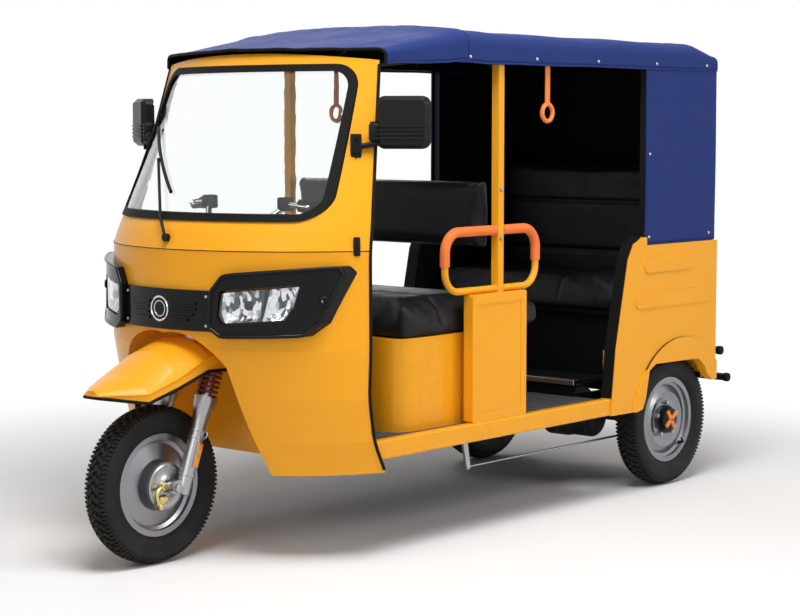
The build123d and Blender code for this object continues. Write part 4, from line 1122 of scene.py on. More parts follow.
@dataclass
class CanvasRoof:
    """Roof canvas in two overlapping pieces, the rear flap, the curtains, their hems and studs."""

    stations: tuple[Station, ...] = (
        Station(0.400, 0.508, 1.600, 1.614, 0.494, 1.624, 1.655),
        Station(0.930, 0.530, 1.622, 1.690, 0.455, 1.730, 1.748),
        Station(2.380, 0.530, 1.622, 1.685, 0.455, 1.726, 1.743),
        Station(2.516, 0.530, 1.622, 1.655, 0.498, 1.676, 1.692),
    )
    bows: tuple[float, ...] = (0.930, 1.420, 1.900, 2.370)
    overlap: tuple[float, float] = (0.905, 0.962)
    cloth: float = 0.0025
    sag: float = 0.007
    front_nose: float = 0.422
    front_bow: float = 1.0276
    lap_rise: float = 0.0045
    belly: float = 0.006
    curtain_front: float = 2.027
    curtain_low: float = 0.957
    curtain_high: float = 1.640
    back: float = 2.5155
    half: float = 0.5295
    stud_radius: float = 0.0065
    roof_stud: tuple[float, float] = (0.5315, 1.640)
    roof_studs_at: tuple[float, ...] = (0.970, 1.340, 1.710, 2.090, 2.440)
    curtain_studs_at: tuple[tuple[float, float], ...] = ((2.050, 1.300), (2.050, 0.985), (2.470, 0.985))
    back_studs_x: tuple[float, ...] = (-0.42, -0.14, 0.14, 0.42)
    back_stud_z: float = 0.985

    def section(self, at: float) -> Station:
        """Roof section at a distance behind the front axle."""
        for near, far in pairwise(self.stations):
            if at <= far.at:
                return near.towards(far, max(0.0, (at - near.at) / (far.at - near.at)))
        return self.stations[-1]

    def front_edge(self, x: float) -> float:
        """Distance of the bowed front edge behind the front axle."""
        return self.front_nose + self.front_bow - math.sqrt(self.front_bow**2 - min(abs(x), 0.56) ** 2)

    def hang(self, at: float, across: float) -> float:
        """How far the canvas dips below its bows at a place."""
        for near, far in pairwise(self.bows):
            if near < at < far:
                share = (at - near) / (far - near)
                middle = math.sin(math.pi * across)
                return self.sag * math.sin(math.pi * share) * max(0.0, middle)
        return 0.0

    def ruck(self, at: float, across: float, size: float) -> Vector:
        """Small pull folds in the cloth at a place."""
        where = Vector((across * 7, at * 3.0, 0.4))
        drag = Vector((across * 30 + at * 6, at * 4.0, 2.0))
        return Vector((0, 0, size * (noise.noise(where) + 0.7 * noise.noise(drag))))

    def main_spot(self, across: float, along: float) -> Vector:
        """Point of the long rear piece of the roof."""
        at = self.overlap[0] + (self.back + 0.003 - self.overlap[0]) * along
        spot = self.section(at).spot(across)
        spot.z -= self.hang(at, across)
        crest = max(0.0, 1 - abs(at - self.overlap[1]) / 0.22)
        return spot + self.ruck(at, across, 0.0030 + 0.004 * crest)

    def front_spot(self, across: float, along: float) -> Vector:
        """Point of the front piece, which lies over the rear piece at the first bow."""
        trial = self.section(0.5).spot(across)
        start = self.front_edge(trial.x)
        at = start + (self.overlap[1] - start) * along
        spot = self.section(at).spot(across)
        lift = self.lap_rise * max(0.0, min(1.0, (at - 0.86) / 0.05))
        out = Vector((spot.x * 0.3, 0, 1)).normalized()
        return spot + out * (0.001 + lift) + self.ruck(at + 4, across, 0.0042)

    def curtain_spot(self, across: float, along: float) -> Vector:
        """Point of the curtain that goes round the rear corner posts and the back."""
        depth = self.back - self.curtain_front
        run = across * (2 * depth + 2 * self.half)
        if run < depth:
            spot = Vector((self.half, aft(self.curtain_front + run), 0))
        elif run < depth + 2 * self.half:
            spot = Vector((self.half - (run - depth), aft(self.back), 0))
        else:
            spot = Vector((-self.half, aft(self.back - (run - depth - 2 * self.half)), 0))
        spot.z = self.curtain_low + (self.curtain_high - self.curtain_low) * along
        belly = self.belly * math.sin(math.pi * along)
        wave = belly * noise.noise(Vector((run * 5.0, along * 1.4, 3.0)))
        outward = Vector((spot.x, spot.y - aft(2.2), 0)).normalized()
        return spot + outward * abs(wave)

    def build(self) -> None:
        """Make the cloth, its hems, flap and studs."""
        main = sheet_grid("canopy_main", 72, 110, (1.36, 1.614), self.main_spot)
        front = sheet_grid("canopy_front", 72, 44, (1.22, 0.50), self.front_spot)
        curtain = sheet_grid("rear_curtain", 150, 48, (2.02, 0.683), self.curtain_spot)
        flap = sheet_grid("rear_flap", 60, 6, (1.08, 0.075), self.flap_spot)
        for piece, node in (
            (main, "canopy_roof"), (front, "canopy_roof"), (flap, "canopy_roof"), (curtain, "canopy_curtains")
        ):
            self.line(piece)
            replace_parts(piece, node)
        self.hems()
        self.studs()

    def flap_spot(self, across: float, along: float) -> Vector:
        """Point of the flap that closes the roof's rear edge."""
        top = self.stations[-1].spot(0.02 + 0.96 * across)
        low = self.stations[-1].low
        return Vector((top.x, aft(self.back + 0.004), low + (top.z - low) * (1 - along)))

    def line(self, piece: Piece) -> None:
        """Give a sheet its thickness, with blue outside and the black lining inside."""
        with editing(piece):
            bpy.ops.mesh.select_all(action="SELECT")
            bpy.ops.mesh.normals_make_consistent(inside=False)
        middle = Vector((0, aft(1.6), 1.3))
        face = piece.data.polygons[len(piece.data.polygons) // 2]
        if face.normal.dot(face.center - middle) < 0:
            piece.data.flip_normals()
        dress(piece, BLUE)
        piece.data.materials.append(LINING.material())
        modify(piece, "SOLIDIFY", thickness=self.cloth, offset=-1, material_offset=1, material_offset_rim=0)

    def hems(self) -> None:
        """Edging tape on the front edge and rolled hems on the other edges."""
        front = self.edge_line(self.front_spot, 40, along=0.0)
        dress(tube("canopy_front_edging", front, 0.0055), RUBBER)
        raised = Vector((0, 0.001, 0.0005))
        lap = [spot + raised for spot in self.edge_line(self.front_spot, 40, along=1.0)]
        hems = [tube("canopy_hem", lap, 0.0022)]
        for across in (0.0, 1.0):
            for place, steps, radius in (
                (self.main_spot, 30, 0.0035), (self.front_spot, 12, 0.0032), (self.curtain_spot, 16, 0.0032)
            ):
                hems.append(tube("canopy_hem", self.edge_line(place, steps, across=across), radius))
        hems.append(tube("canopy_hem", self.edge_line(self.curtain_spot, 60, along=0.0), 0.0035))
        seam = [self.main_spot(0.02 + 0.96 * share / 40, 1.0) for share in range(41)]
        hems.append(tube("canopy_hem", seam, 0.0028))
        dress(join(hems, "canopy_hems"), BLUE)

    @staticmethod
    def edge_line(
        place: Callable[[float, float], Vector], steps: int, across: float | None = None, along: float = 0.0
    ) -> list[Vector]:
        """Points along one edge of a sheet.

        Args:
            place: Where a point of the sheet lies, from its shares across and along.
            steps: Runs between the points.
            across: Share across of a side edge, or none for an edge that goes across.
            along: Share along of an edge that goes across.

        Returns:
            The points.
        """
        shares = [step / steps for step in range(steps + 1)]
        if across is None:
            return [place(share, along) for share in shares]
        return [place(across, share) for share in shares]

    def studs(self) -> None:
        """Turn-button studs along the lower edges."""
        x, z = self.roof_stud
        spots = []
        for side in SIDES:
            out = Vector((side, 0, 0))
            spots += [(Vector((side * x, aft(at), z)), out) for at in self.roof_studs_at]
            wall = side * (self.half + 0.002)
            spots += [(Vector((wall, aft(at), height)), out) for at, height in self.curtain_studs_at]
        for x in self.back_studs_x:
            spots.append((Vector((x, aft(self.back + 0.002), self.back_stud_z)), Vector((0, 1, 0))))
        deselect()
        bpy.ops.mesh.primitive_uv_sphere_add(segments=14, ring_count=8, radius=self.stud_radius)
        bpy.context.object.scale = (1, 1, 0.55)
        stud = soften(settle("canopy_stud"), 80)
        dress(repeat(stud, "canopy_studs", [facing(spot, out) for spot, out in spots]), STEEL)


# Running gear


@dataclass
class Tyres:
    """Block-tread tyres in place of the plain CAD ones."""

    pitches: int = 52
    crown: float = 0.257
    bow: float = 0.0896
    inner_x: float = 0.0078
    outer_x: float = 0.0228
    lug_x: float = 0.0388
    skew: float = 0.5
    wheels: tuple[tuple[str, Body, Point], ...] = (
        ("front_tyre", Body.FRONT_WHEEL, (0.0, aft(0.0), AXLE_Z)),
        ("rear_tyre_left", Body.REAR_LEFT, (REAR_WHEEL_X, aft(WHEELBASE), AXLE_Z)),
        ("rear_tyre_right", Body.REAR_RIGHT, (-REAR_WHEEL_X, aft(WHEELBASE), AXLE_Z)),
    )
    half_profile: Profile = (
        (0.0297, 0.1525), (0.0297, 0.1680), (0.0357, 0.1710), (0.0425, 0.1800), (0.0465, 0.1900),
        (0.0480, 0.1965), (0.0487, 0.1985), (0.0480, 0.2005), (0.0488, 0.2060), (0.0486, 0.2160),
        (0.0474, 0.2260), (0.0460, 0.2330), (0.0425, 0.2380), (0.0300, 0.2440), (0.0150, 0.2480),
        (0.0, 0.2490),
    )

    def place(self, angle: float, x: float, skew: float = 0.0) -> Matrix:
        """Where a tread block goes on the bowed crown.

        Args:
            angle: Turn about the axle.
            x: Distance from the tyre's middle.
            skew: Turn about the block's own upright.

        Returns:
            The block's matrix.
        """
        lean = math.asin(x / self.bow)
        radius = self.crown - self.bow * (1 - math.cos(lean))
        seat = Matrix.Rotation(angle, 4, "X") @ Matrix.Translation((x, 0, radius))
        return seat @ Matrix.Rotation(lean, 4, "Y") @ Matrix.Rotation(skew, 4, "Z")

    def build(self) -> None:
        """Make one tyre at the origin and copy it to each wheel."""
        loop = [(-x, radius) for x, radius in self.half_profile]
        loop += [(x, radius) for x, radius in reversed(self.half_profile[:-1])]
        carcass = lathe("tyre_carcass", [*loop, loop[0]], (0, 0, 0), 96)
        pad = block("tread_block", (-0.0062, -0.0100, -0.011), (0.0062, 0.0100, 0.0), 0.0016, 1)
        lug = block("tread_lug", (-0.0080, -0.0044, -0.010), (0.0080, 0.0044, 0.0), 0.0014, 1)
        step = math.tau / self.pitches
        pads, lugs = [], []
        for number in range(self.pitches):
            for side in SIDES:
                skew = self.skew * side
                at = number + 0.25 * side
                pads.append(self.place(step * at, self.inner_x * side, skew))
                pads.append(self.place(step * (at + 0.3), self.outer_x * side, skew))
                lugs += [self.place(step * (number + half), self.lug_x * side) for half in (0.0, 0.5)]
        tread = [repeat(pad, "tread_pads", pads), repeat(lug, "tread_lugs", lugs)]
        tyre = join([carcass, *tread], "tyre_pattern")
        for node, body, centre in self.wheels:
            made = dress(moved_copy(tyre, f"{node}_tread", Matrix.Translation(centre)), TYRE, body)
            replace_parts(made, node)
        bpy.data.objects.remove(tyre)


@dataclass
class FrontFork:
    """Coil springs with their cups, slider bands, side reflectors and the axle's brake.

    A profile is (distance along its axis, radius), and a box is (low corner, high corner).
    """

    leg_x: float = 0.095
    spring: tuple[float, float] = (0.292, 0.415)
    coil: float = 0.0315
    wire: float = 0.0052
    turns: int = 7
    rod: Profile = ((-0.004, 0), (-0.004, 0.015), (0.127, 0.015), (0.127, 0))
    cup_at: float = 0.270
    cup: Profile = (
        (-0.075, 0.0255), (-0.050, 0.0268), (-0.022, 0.0310), (-0.006, 0.0368), (0.014, 0.0376),
        (0.0205, 0.0400), (0.0235, 0.0400), (0.0235, 0.0170), (-0.075, 0.0170), (-0.075, 0.0255),
    )
    band: Profile = ((-0.006, 0.024), (-0.0045, 0.0272), (0.0045, 0.0272), (0.006, 0.024), (-0.006, 0.024))
    bands_at: tuple[float, ...] = (-0.235, -0.110, -0.088)
    clip_centre: Point = (0.0365, 0, -0.099)
    clip_radius: float = 0.012
    clip_wire: float = 0.0028
    reflector: tuple[Point, Point] = ((0.018, -0.010, 0.060), (0.028, 0.016, 0.144))
    cell_size: Point = (0.004, 0.020, 0.037)
    cells_at: tuple[Point, ...] = ((0.0265, -0.007, 0.063), (0.0265, -0.007, 0.104))
    plate: Profile = (
        (0.0625, 0), (0.0625, 0.072), (0.066, 0.074), (0.069, 0.068),
        (0.067, 0.060), (0.070, 0.034), (0.076, 0.026), (0.076, 0),
    )
    nut_at: Point = (0.124, aft(0.0), AXLE_Z)
    cam_at: Point = (0.078, aft(-0.024), 0.262)
    arm: tuple[Point, ...] = (
        (0.080, aft(-0.022), 0.262), (0.083, aft(-0.052), 0.256),
        (0.084, aft(-0.058), 0.228), (0.084, aft(-0.044), 0.198),
    )
    lug: tuple[Point, Point] = ((0.074, aft(-0.040), 0.205), (0.082, aft(-0.005), 0.228))

    def leg(self, along: float) -> Matrix:
        """Frame of the left fork leg: Z up the leg and X to the vehicle's left."""
        return Matrix.Translation(on_steer_axis(along, self.leg_x)) @ Matrix.Rotation(-RAKE, 4, "X")

    def legs(self, obj: Piece, along: float, finish: Finish) -> Piece:
        """Set a piece made at the origin on both legs, mirrored, and dress it.

        Args:
            obj: The piece of one leg.
            along: Distance of its origin up the leg.
            finish: Its finish.

        Returns:
            The pair as one piece.
        """
        obj.data.transform(self.leg(along))
        return dress(both_sides(obj, f"{obj.name}s"), finish, Body.STEERING)

    def build(self) -> None:
        """Make everything on the fork and at the axle."""
        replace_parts(self.legs(self.wind(), self.spring[0], SPRING), "fork_springs")
        self.legs(lathe("fork_inner_rod", self.rod, ORIGIN, 24, UP), self.spring[0], BLACK_PAINT)
        cups = [lathe("fork_cup", self.cup, ORIGIN, 40, UP)]
        cups += [lathe("fork_band", self.band, (0, 0, far), 32, UP) for far in self.bands_at]
        cups.append(tube("fork_clip", self.clip(), self.clip_wire, closed=True))
        self.legs(join(cups, "fork_cup"), self.cup_at, ALLOY)
        self.legs(block("fork_reflector_frame", *self.reflector, 0.003), 0.0, ALLOY)
        cells = [block("cell", low, Vector(low) + Vector(self.cell_size), 0.002) for low in self.cells_at]
        self.legs(join(cells, "fork_reflector_cell"), 0.0, AMBER_LENS)
        self.brake()

    def clip(self) -> list[Vector]:
        """Points of the upright clip ring beside the leg."""
        turns = [math.tau * step / 12 for step in range(12)]
        return [
            Vector(self.clip_centre) + self.clip_radius * Vector((math.cos(turn), 0, math.sin(turn)))
            for turn in turns
        ]

    def wind(self) -> Piece:
        """One coil spring standing on the origin."""
        deselect()
        bpy.ops.mesh.primitive_circle_add(
            vertices=10, radius=self.wire, location=(self.coil, 0, self.wire), rotation=(math.pi / 2, 0, 0)
        )
        spring = settle("fork_coil")
        rise = (self.spring[1] - self.spring[0] - 2 * self.wire) / self.turns
        modify(spring, "SCREW", axis="Z", steps=24, render_steps=24, iterations=self.turns, screw_offset=rise)
        with editing(spring, "VERT"):
            bpy.ops.mesh.select_all(action="SELECT")
            bpy.ops.mesh.remove_doubles(threshold=1e-5)
            bpy.ops.mesh.fill_holes(sides=0)
            bpy.ops.mesh.normals_make_consistent(inside=False)
        return soften(spring, 60)

    def brake(self) -> None:
        """Brake plates, axle nuts and the brake's cam with its arm."""
        plate = lathe("brake_plate", self.plate, (0, aft(0.0), AXLE_Z), 48)
        dress(both_sides(plate, "brake_plates"), ALLOY, Body.STEERING)
        nut = disc("axle_nut", self.nut_at, LEFT, 0.016, 0.014, 0.002, 6)
        dress(both_sides(nut, "axle_nuts"), STEEL, Body.STEERING)
        cam = [
            tube("brake_arm", self.arm, 0.0065),
            disc("brake_cam", self.cam_at, LEFT, 0.014, 0.022, 0.003, 20),
            disc("brake_clevis", self.arm[-1], LEFT, 0.010, 0.020, 0.002, 16),
            block("brake_lug", *self.lug, 0.003),
        ]
        dress(join(cam, "brake_cam_and_arm"), BRASS, Body.STEERING)


@dataclass
class FenderEdge:
    """Rubber edging along the front fender's lower rim, and the rolled bead above its lip."""

    places: tuple[tuple[float, float], ...] = (
        (0.152, 0.226), (0.152, 0.110), (0.146, -0.020), (0.139, -0.134), (0.034, -0.248)
    )
    rim: tuple[float, ...] = (0.622, 0.626, 0.580, 0.546, 0.564)
    bead: tuple[float, ...] = (0.672, 0.670, 0.612, 0.574, 0.570)

    def line(self, heights: Sequence[float]) -> list[Point]:
        """Points down one side, round the nose and up the other, at these heights."""
        left = [(x, aft(at), z) for (x, at), z in zip(self.places, heights)]
        return [*left, *((-x, y, z) for x, y, z in reversed(left))]

    def build(self) -> None:
        """Lay the edging and the bead."""
        dress(tube("fender_edging", self.line(self.rim), 0.0055, smooth=False), RUBBER, Body.STEERING)
        dress(tube("fender_bead", self.line(self.bead), 0.0032, smooth=False), YELLOW, Body.STEERING)


@dataclass
class RearHubs:
    """Black hub covers with wheel nuts, crossed orange caps and tyre valves."""

    nuts: int = 5
    nut_at: Point = (0.026, 0, 0.067)
    bar: tuple[Point, Point] = ((0.044, -0.043, -0.0085), (0.054, 0.043, 0.0085))
    bar_turns: tuple[float, float] = (35, 125)
    octagon_at: Point = (0.036, 0, 0)
    collar_at: Point = (0.024, 0, 0)
    valve: tuple[Point, ...] = (
        (0.018, 0.102, -0.102), (0.040, 0.102, -0.102), (0.042, 0.098, -0.098), (0.042, 0.084, -0.084)
    )

    def build(self) -> None:
        """Make the left hub at the origin and lay it on both wheels."""
        for name, finish, piece in (
            ("hub_cover", BLACK_PAINT, self.cover()),
            ("hub_cross", ORANGE, self.cross()),
            ("hub_nuts", STEEL, self.wheel_nuts()),
        ):
            for hand, side, body in REAR_WHEELS:
                wheel = Matrix.Translation((side * REAR_WHEEL_X, aft(WHEELBASE), AXLE_Z))
                place = wheel @ Matrix.Scale(side, 4, LEFT)
                dress(moved_copy(piece, f"{name}_{hand}", place), finish, body)
            bpy.data.objects.remove(piece)

    def cover(self) -> Piece:
        """Octagon cover, its collar and the tyre valve."""
        parts = [
            disc("hub_octagon", self.octagon_at, LEFT, 0.050, 0.020, 0.003, 8),
            disc("hub_collar", self.collar_at, LEFT, 0.056, 0.010, 0.002, 32),
            tube("tyre_valve", self.valve, 0.0042, smooth=False),
        ]
        return join(parts, "hub_cover_pattern")

    def cross(self) -> Piece:
        """Two crossed bars with rounded ends."""
        turns = [Matrix.Rotation(math.radians(turn), 4, "X") for turn in self.bar_turns]
        return repeat(block("hub_bar", *self.bar, 0.004), "hub_cross_pattern", turns)

    def wheel_nuts(self) -> Piece:
        """Wheel nuts round the cover."""
        nut = disc("wheel_nut", self.nut_at, LEFT, 0.0085, 0.016, 0.0015, 6)
        turns = [Matrix.Rotation(math.tau * number / self.nuts, 4, "X") for number in range(self.nuts)]
        return repeat(nut, "hub_nuts_pattern", turns)


# Front panel and cab trim


@dataclass
class Headlamps:
    """Clear covers over fluted reflectors in two chambers, a bulb cap and a slanted bar, on both sides.

    Corners of the opening are (distance from the middle, height).
    """

    top: tuple = ((0.245, 0.8865), (0.4585, 0.9095))
    low: tuple = ((0.2515, 0.7878), (0.4215, 0.8005))
    inner: tuple[float, float] = (0.2360, 0.8130)
    outer: tuple[float, float] = (0.4435, 0.8425)
    margin: float = 0.02
    bar: tuple[float, float] = (0.60, 0.65)
    bar_proud: float = 0.0182
    bar_fall: float = 0.003
    bar_depth: float = 0.014
    proud: float = 0.0215
    cover: float = 0.002
    gap: float = 0.004
    hollow: float = 0.0125
    flute: float = 0.0010
    sheet: float = 0.0008
    bulb: Profile = ((-0.006, 0), (-0.006, 0.015), (0.003, 0.0145), (0.0065, 0.011), (0.008, 0))
    bulb_at: Point = (0.318, 0.845, 0.0085)

    @staticmethod
    def bent(start: Sequence[float], knee: Sequence[float], end: Sequence[float], up: float) -> list[float]:
        """Point of an edge that runs straight to a knee and straight on."""
        first, second, part = (start, knee, 2 * up) if up < 0.5 else (knee, end, 2 * up - 1)
        return [near + (far - near) * part for near, far in zip(first, second)]

    def spot(self, across: float, up: float, proud: float) -> Vector:
        """Point in the lamp opening.

        Args:
            across: Share of the way to the outer edge.
            up: Share of the way to the top edge.
            proud: Distance off the cowl.

        Returns:
            The point.
        """
        near = self.bent(self.low[0], self.inner, self.top[0], up)
        far = self.bent(self.low[1], self.outer, self.top[1], up)
        x, z = (a + (b - a) * across for a, b in zip(near, far))
        return CabSurface.spot(x, z, proud)

    def panel(
        self, name: str, span: tuple[float, float], proud: Callable[[float, float], float], thick: float,
        finish: Finish,
    ) -> Piece:
        """Bowed plate over a span of the opening, on both sides.

        Args:
            name: Name of the piece.
            span: Shares across where it starts and ends.
            proud: Distance off the cowl from shares across and up.
            thick: Its thickness.
            finish: Its finish.

        Returns:
            The piece.
        """
        wide = span[1] - span[0]
        tall = 1 - 2 * self.margin

        def place(across: float, up: float) -> Vector:
            """Point of the plate."""
            return self.spot(span[0] + wide * across, self.margin + tall * up, proud(across, up))

        plate = sheet_grid(name, 36, 18, (0.2 * wide, 0.11), place)
        modify(plate, "SOLIDIFY", thickness=thick, offset=-1)
        return dress(both_sides(soften(plate, 40), name), finish)

    def bowl(self, across: float, up: float, flutes: int = 7) -> float:
        """Height of a fluted reflector bowl off the cowl."""
        depth = self.hollow * (1 - (2 * across - 1) ** 4) * (1 - (2 * up - 1) ** 4)
        return self.proud - self.gap - depth - self.flute * abs(math.sin(math.pi * flutes * across))

    def side_bowl(self, across: float, up: float) -> float:
        """Height of the narrow outer bowl off the cowl."""
        return self.bowl(across, up, 4)

    def ridge(self, across: float, up: float) -> float:
        """Height of the roofed bar off the cowl."""
        return self.bar_proud - self.bar_fall * abs(2 * across - 1)

    def build(self) -> None:
        """Make the covers, reflectors, bars and bulb caps."""
        cover = self.panel("headlamp_covers", (0.0, 1.0), lambda across, up: self.proud, self.cover, LENS)
        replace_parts(cover, "headlamps")
        inner, outer = (0.02, self.bar[0]), (self.bar[1], 0.98)
        self.panel("headlamp_main_reflectors", inner, self.bowl, self.sheet, REFLECTOR)
        self.panel("headlamp_side_reflectors", outer, self.side_bowl, self.sheet, REFLECTOR)
        self.panel("headlamp_bars", self.bar, self.ridge, self.bar_depth, GLOSS_PLASTIC)
        bulb = lathe("bulb_cap", self.bulb, ORIGIN, 28, UP)
        bulb.data.transform(CabSurface.on(*self.bulb_at))
        dress(both_sides(bulb, "headlamp_bulb_caps"), GLOSS_PLASTIC)


@dataclass
class LampPanel:
    """Pod rims, grille slats, a blank badge ring, screws and side knobs on the black panel.

    Places on the panel are (distance from the middle, height, distance off the cowl).
    """

    pod: tuple[tuple[float, float], ...] = (
        (0.201, 0.770), (0.207, 0.890), (0.248, 0.943), (0.545, 0.971),
        (0.558, 0.948), (0.510, 0.790), (0.472, 0.749), (0.242, 0.742),
    )
    pod_middle: tuple[float, float] = (0.372, 0.853)
    inset: float = 0.965
    pod_proud: float = 0.026
    grille_proud: float = 0.012
    slats: tuple[Point, ...] = (
        (0.793, 0.050, 0.122), (0.811, 0.054, 0.140), (0.829, 0.054, 0.150), (0.847, 0.050, 0.150)
    )
    badge_z: float = 0.824
    ring: Profile = (
        (-0.004, 0.035), (-0.004, 0.042), (0.004, 0.0415), (0.006, 0.0385), (0.004, 0.0355), (-0.004, 0.035)
    )
    blank: Profile = (
        (-0.004, 0), (-0.004, 0.036), (0.002, 0.036), (0.003, 0.026),
        (0.0015, 0.024), (0.0015, 0.012), (0.003, 0),
    )
    bead: Profile = ((0, 0.0225), (0.0035, 0.0235), (0.0035, 0.0262), (0, 0.0272), (0, 0.0225))
    knob: Profile = (
        (-0.004, 0), (-0.004, 0.0165), (0.009, 0.0155), (0.012, 0.0125),
        (0.012, 0.009), (0.008, 0.008), (0.008, 0),
    )
    knob_at: Point = (0.513, 0.862, pod_proud)
    screws: tuple[Point, ...] = (
        (0.186, 0.870, grille_proud), (0.186, 0.777, grille_proud), (0.513, 0.862, pod_proud + 0.007)
    )

    def build(self) -> None:
        """Make every piece of the panel."""
        dress(both_sides(self.rim(), "lamp_pod_rims"), GLOSS_PLASTIC)
        slats = join([self.slat(*row) for row in self.slats], "grille_slats")
        dress(both_sides(slats, "grille_slats"), GLOSS_PLASTIC)
        for name, profile, finish in (
            ("badge_ring", self.ring, CHROME),
            ("badge_blank", self.blank, GLOSS_PLASTIC),
            ("badge_bead", self.bead, CHROME),
        ):
            badge = lathe(name, profile, ORIGIN, 48, UP)
            badge.data.transform(CabSurface.on(0.0, self.badge_z, self.grille_proud))
            dress(badge, finish)
        knob = lathe("pod_knob", self.knob, ORIGIN, 28, UP)
        knob.data.transform(CabSurface.on(*self.knob_at))
        dress(both_sides(knob, "pod_knobs"), BLACK_PLASTIC)
        screw = disc("panel_screw", (0, 0, 0.001), UP, 0.0048, 0.005, 0.0012, 16)
        places = [CabSurface.on(side * x, z, proud) for side in SIDES for x, z, proud in self.screws]
        dress(repeat(screw, "panel_screws", places), STEEL)

    def slat(self, z: float, start: float, end: float) -> Piece:
        """One bowed grille slat at a height, between two distances from the middle."""
        shares = [step / 8 for step in range(9)]
        proud = self.grille_proud + 0.001
        line = [CabSurface.spot(start + (end - start) * share, z, proud) for share in shares]
        return tube("grille_slat", line, 0.0048)

    def rim(self) -> Piece:
        """Raised bead inside the edge of the left pod."""
        near = [
            tuple(middle + (edge - middle) * self.inset for edge, middle in zip(point, self.pod_middle))
            for point in self.pod
        ]
        line = []
        for start, end in zip(near, near[1:] + near[:1]):
            for step in range(9):
                share = 0.07 + 0.86 * step / 8
                x, z = (a + (b - a) * share for a, b in zip(start, end))
                line.append(CabSurface.spot(x, z, self.pod_proud))
        return tube("lamp_pod_rim", line, 0.0065, closed=True)


@dataclass
class MirrorTrim:
    """Ribbed bands, knuckles and wall brackets of the mirrors, in the mirror's own frame until laid on."""

    centre: Point = (0.615, aft(0.530), 1.420)
    toe: float = math.radians(30)
    ribs_at: tuple[float, ...] = (-0.012, -0.025, -0.038, -0.051)
    rib_half: float = 0.0042
    knuckle: tuple[Point, Point] = ((-0.110, -0.060, -0.012), (-0.074, -0.002, 0.024))
    pivot: Point = (-0.096, -0.034, 0.004)
    bracket_at: tuple[float, float] = (0.489, 1.342)
    bracket: tuple[Point, Point] = ((-0.018, -0.042, -0.004), (0.018, 0.042, 0.011))
    bolts_at: tuple[float, float] = (-0.029, 0.029)

    def build(self) -> None:
        """Make the left mirror's pieces and mirror them."""
        out = Vector((math.sin(self.toe), -math.cos(self.toe), 0))
        ribs = []
        for at in self.ribs_at:
            low, high = (-0.088, at - self.rib_half, 0.018), (0.070, at + self.rib_half, 0.0312)
            ribs.append(block("mirror_rib", low, high, 0.0025))
        ribs.append(block("mirror_knuckle", *self.knuckle, 0.008, 3))
        ribs.append(disc("mirror_pivot", self.pivot, (0, 1, 0), 0.012, 0.074, 0.003, 24))
        bands = join(ribs, "mirror_bands")
        bands.data.transform(facing(Vector(self.centre), out))
        dress(both_sides(bands, "mirror_bands"), BLACK_PLASTIC)
        plate = [block("mirror_bracket", *self.bracket, 0.004)]
        for at in self.bolts_at:
            plate.append(disc("mirror_bolt", (0, at, 0.012), UP, 0.007, 0.008, 0.0015, 6))
        wall = join(plate, "mirror_brackets")
        wall.data.transform(CabSurface.on(*self.bracket_at))
        dress(both_sides(wall, "mirror_brackets"), BLACK_PLASTIC)


@dataclass
class CabTrim:
    """Door-edge rubbers, a black line of painted shade along the cab's seam, the seam's latches, hand levers,
    switch boxes and the instrument's face.
    """

    edge: tuple[float, float] = (0.300, 1.606)
    edge_steps: int = 36
    seam_half: float = 0.577
    seam_z: float = 1.0152
    seam_steps: int = 24
    latch: tuple[Point, Point] = ((-0.011, -0.030, -0.003), (0.011, 0.030, 0.010))
    latch_at: tuple[float, float] = (0.553, 1.030)
    lever: tuple[Point, ...] = (
        (0.192, aft(0.430), 1.151), (0.214, aft(0.421), 1.150),
        (0.244, aft(0.424), 1.147), (0.276, aft(0.442), 1.143),
    )
    lever_end: Point = (0.8, 0.55, -0.1)
    switch_box: tuple[Point, Point] = ((0.162, aft(0.412), 1.128), (0.198, aft(0.462), 1.174))
    instrument: tuple[Point, Point] = ((-0.078, aft(0.2535), 1.000), (0.078, aft(0.2575), 1.062))

    def build(self) -> None:
        """Make the trim of the cab and of the handlebar."""
        low, high = self.edge
        rise = (high - low) / self.edge_steps
        line = [CabSurface.door_edge(low + rise * step) for step in range(self.edge_steps + 1)]
        dress(both_sides(tube("door_edge_rubbers", line, 0.0055), "door_edge_rubbers"), RUBBER)
        # Painted shade: a thin black rubber line laid along the seam stands in for the shade in its groove.
        shares = [step / self.seam_steps for step in range(-self.seam_steps, self.seam_steps + 1)]
        seam = [CabSurface.spot(self.seam_half * share, self.seam_z, 0.0004) for share in shares]
        dress(tube("cab_seam_shade_line", seam, 0.0014, sides=1), RUBBER)
        latch = block("seam_latches", *self.latch, 0.004)
        latch.data.transform(CabSurface.on(*self.latch_at))
        dress(both_sides(latch, "seam_latches"), BLACK_PLASTIC)
        levers = [
            tube("hand_lever", self.lever, 0.0055),
            disc("lever_end", self.lever[-1], self.lever_end, 0.0085, 0.016, 0.005, 16),
        ]
        dress(both_sides(join(levers, "hand_levers"), "hand_levers"), CHROME, Body.STEERING)
        boxes = block("switch_boxes", *self.switch_box, 0.008, 3)
        dress(both_sides(boxes, "switch_boxes"), BLACK_PLASTIC, Body.STEERING)
        dress(block("instrument_face", *self.instrument, 0.0015), GLOSS_PLASTIC)


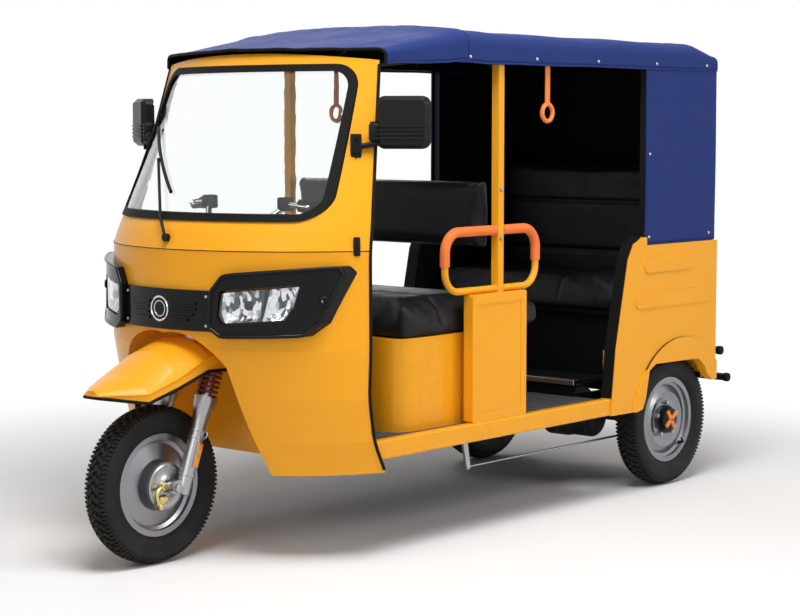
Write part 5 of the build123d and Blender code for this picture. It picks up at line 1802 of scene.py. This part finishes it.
@dataclass
class BodyTrim:
    """Step edging, post bolts, bumper plugs and tail lamp bezels."""

    step: tuple[Point, Point] = ((-0.372, aft(1.790), 0.428), (0.372, aft(1.822), 0.4482))
    bolts: tuple[Point, ...] = ((0.515, aft(1.160), 1.020), (0.515, aft(1.160), 1.190))
    plugs: tuple[Point, ...] = ((0.496, aft(2.677), 0.385), (0.496, aft(2.622), 0.500))
    lamp_corners: tuple[Point, ...] = (
        (0.328, aft(2.525), 0.688), (0.462, aft(2.525), 0.688),
        (0.462, aft(2.525), 0.792), (0.328, aft(2.525), 0.792),
    )
    lamp_shares: tuple[float, ...] = (0.08, 0.5, 0.92)

    @staticmethod
    def sided(places: Sequence[Point]) -> list[tuple[int, Vector]]:
        """Each left-hand place on both sides, with its side."""
        return [(side, Vector((side * x, y, z))) for side in SIDES for x, y, z in places]

    def build(self) -> None:
        """Make each kind of piece."""
        dress(block("step_edging", *self.step, 0.0012, 1), STEEL)
        bolt = disc("post_bolt", (0, 0, 0.002), UP, 0.0085, 0.008, 0.0015, 6)
        bolts = [facing(spot, Vector((side, 0, 0))) for side, spot in self.sided(self.bolts)]
        dress(repeat(bolt, "post_bolts", bolts), STEEL)
        plug = disc("bumper_plug", ORIGIN, LEFT, 0.0178, 0.022, 0.004, 24)
        plugs = [Matrix.Translation(spot) for _, spot in self.sided(self.plugs)]
        dress(repeat(plug, "bumper_plugs", plugs), RUBBER)
        corners = [Vector(corner) for corner in self.lamp_corners]
        line = []
        for start, end in zip(corners, corners[1:] + corners[:1]):
            line += [start.lerp(end, share) for share in self.lamp_shares]
        bezel = tube("tail_lamp_bezels", line, 0.006, closed=True)
        dress(both_sides(bezel, "tail_lamp_bezels"), BLACK_PLASTIC)


def main() -> None:
    """Build the studio and every sub-assembly in order."""
    logging.basicConfig(level=logging.INFO, format="%(message)s")
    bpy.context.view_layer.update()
    Studio().build()
    dress_nodes()
    for assembly in (
        Tyres(), FrontFork(), FenderEdge(), RearHubs(), Headlamps(), LampPanel(),
        MirrorTrim(), CabTrim(), BodyTrim(), CanvasRoof(), Seats(),
    ):
        assembly.build()
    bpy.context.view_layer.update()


if __name__ == "__main__":
    main()
